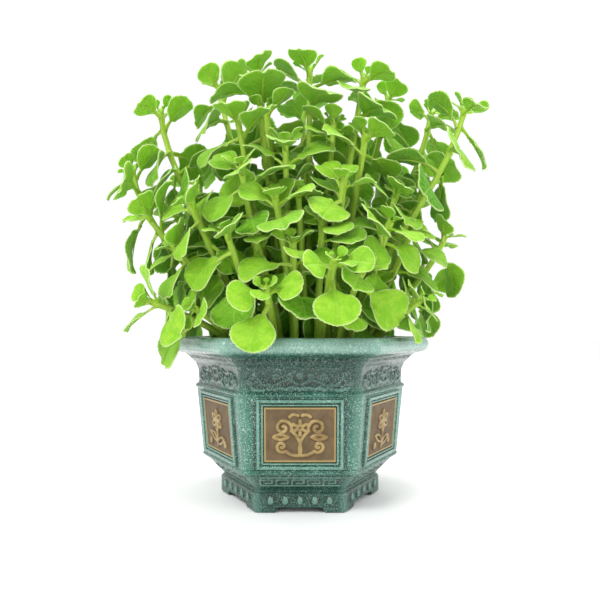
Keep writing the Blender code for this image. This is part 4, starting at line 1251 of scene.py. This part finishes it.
def bronze_finish():
    paint = Paint("bronze_plaque")
    proud, border = paint.value("proud"), paint.value("border")
    grain = paint.noise(1400.0, 3.0, 0.7)
    wash = paint.noise(120.0, 3.0, 0.6)
    ground = paint.mix(paint.step(wash, 0.3, 0.7), BRONZE_DEEP, BRONZE_GROUND)
    ground = paint.tint(ground, BRONZE_GRAIN, paint.step(grain, 0.5, 0.7), 0.35)
    # Painted highlight: the raised ornament is mixed in patches towards a highlight colour.
    gold_and_highlight = paint.mix(paint.step(wash, 0.3, 0.7), BRONZE_GOLD, BRONZE_HIGHLIGHT)
    raised = paint.step(proud, 0.25, 0.75)
    colour = paint.mix(raised, ground, gold_and_highlight)
    # Painted highlight: the raised border is painted in the highlight colour.
    colour = paint.tint(colour, BRONZE_HIGHLIGHT, border, 0.85)
    shine = paint.math("MAXIMUM", raised, border)
    rough = paint.step(paint.math("SUBTRACT", shine, paint.math("MULTIPLY", grain, 0.4)), 0.0, 1.0, 0.60, 0.34)
    metal = paint.step(shine, 0.0, 1.0, 0.15, 0.45)
    normal = paint.bump(grain, 0.30, 0.0002)
    paint.set(Base_Color=colour, Roughness=rough, Metallic=metal, Normal=normal)
    return paint.material


def soil_finish():
    paint = Paint("potting_soil")
    tone = paint.value("tone")
    crumb = paint.noise(1300.0, 4.0, 0.7)
    damp = paint.noise(90.0, 3.0, 0.6)
    colour = paint.mix(paint.step(damp, 0.3, 0.7), SOIL_DARK, SOIL_BROWN)
    colour = paint.tint(colour, SOIL_LIGHT, paint.step(crumb, 0.45, 0.75), 0.6)
    colour = paint.mix(paint.step(tone, 0.93, 0.96), colour, SOIL_GRIT)
    rough = paint.step(crumb, 0.3, 0.7, 0.80, 0.98)
    paint.set(Base_Color=colour, Roughness=rough, Normal=paint.bump(crumb, 0.8, 0.0008))
    return paint.material


# The colours, as they show on a screen.
LEAF_DEEP = linear(56, 142, 4)
LEAF_MIDDLE = linear(94, 176, 12)
LEAF_BRIGHT = linear(138, 212, 20)
LEAF_YOUNG = linear(184, 236, 62)
LEAF_NET = linear(136, 204, 40)
LEAF_VEIN = linear(170, 224, 80)
LEAF_HAIR = linear(180, 230, 96)
LEAF_UNDER = linear(160, 218, 80)
LEAF_RIM = linear(232, 252, 172)
STEM_GREEN = linear(162, 212, 36)
STEM_PALE = linear(202, 232, 108)
STEM_HAIR = linear(226, 246, 150)
VEIN_PITCH = 0.0052
# A painted shade colour, for the neck and the foot.
GLAZE_PAINTED_SHADE = linear(10, 52, 42)
GLAZE_DEEP = linear(16, 92, 72)
GLAZE_MIDDLE = linear(44, 124, 102)
# A painted shade colour, for the glaze's recesses.
GLAZE_RECESS_SHADE = linear(2, 38, 26)
# A painted highlight colour, for the glaze's crests and corners.
GLAZE_HIGHLIGHT = linear(138, 190, 172)
# A painted light colour, for the top of the rim.
GLAZE_RIM_LIGHT = linear(158, 200, 184)
GLAZE_FLECK = linear(200, 236, 222)
GLAZE_SPECK = linear(14, 66, 50)
BRONZE_DEEP = linear(104, 82, 52)
BRONZE_GROUND = linear(128, 104, 68)
BRONZE_GRAIN = linear(84, 64, 40)
BRONZE_GOLD = linear(150, 124, 74)
# A painted highlight colour, for the ornament's crests and the raised border.
BRONZE_HIGHLIGHT = linear(196, 170, 112)
SOIL_DARK = linear(38, 28, 22)
SOIL_BROWN = linear(70, 54, 42)
SOIL_LIGHT = linear(104, 84, 66)
SOIL_GRIT = linear(196, 190, 178)


# The floor, the lights and the camera.
CAMERA_DISTANCE = 0.45
CAMERA_HEIGHT = 0.130
CAMERA_LENS = 33.6
CAMERA_SHIFT = 0.048


def make_floor():
    paint = Paint("pale_floor")
    grain = paint.noise(30.0, 2.0)
    paint.set(Base_Color=paint.mix(grain, (0.955, 0.955, 0.955), (0.97, 0.97, 0.97)), Roughness=0.9)
    half = 6.0
    mesh = bpy.data.meshes.new("floor")
    corners = [(-half, -half, 0), (half, -half, 0), (half, half, 0), (-half, half, 0)]
    mesh.from_pydata(corners, [], [(0, 1, 2, 3)])
    mesh.materials.append(paint.material)
    floor = bpy.data.objects.new("floor", mesh)
    floor.location.z = -0.0002
    bpy.context.scene.collection.objects.link(floor)


def lamp(name, place, aim, size, power):
    data = bpy.data.lights.new(name, "AREA")
    data.shape = "DISK"
    data.size = size
    data.energy = power
    obj = bpy.data.objects.new(name, data)
    obj.location = place
    obj.rotation_mode = "QUATERNION"
    obj.rotation_quaternion = (Vector(aim) - Vector(place)).to_track_quat("-Z", "Y")
    bpy.context.scene.collection.objects.link(obj)


def make_studio():
    world = bpy.data.worlds.new("studio")
    world.use_nodes = True
    world.node_tree.nodes["Background"].inputs["Color"].default_value = (1.0, 1.0, 1.0, 1.0)
    world.node_tree.nodes["Background"].inputs["Strength"].default_value = 1.03
    bpy.context.scene.world = world
    middle = (0.0, 0.0, 0.18)
    lamp("key", (-0.55, -0.75, 0.95), middle, 0.45, 7.5)
    lamp("fill", (0.85, -0.60, 0.45), middle, 0.6, 2.5)
    lamp("top", (0.10, 0.25, 1.10), middle, 0.6, 9.0)
    data = bpy.data.cameras.new("camera")
    data.lens = CAMERA_LENS
    data.shift_y = CAMERA_SHIFT
    camera = bpy.data.objects.new("camera", data)
    camera.location = (0.0, -CAMERA_DISTANCE, CAMERA_HEIGHT)
    camera.rotation_euler = (math.pi / 2, 0.0, 0.0)
    bpy.context.scene.collection.objects.link(camera)
    bpy.context.scene.camera = camera
    bpy.context.scene.view_settings.view_transform = "Standard"


def main():
    shoots = grow_plant()
    dice = np.random.default_rng(SEED)
    template = blade_template()
    green = leaf_finish()
    for name, shoot in shoots.items():
        dress_shoot(name, shoot, template, green, dice)
    dress_pot(glaze_finish())
    bronze = bronze_finish()
    for side in range(SIDES):
        dress_plaque(side, bronze)
    dress_soil(soil_finish(), dice)
    make_floor()
    make_studio()


main()
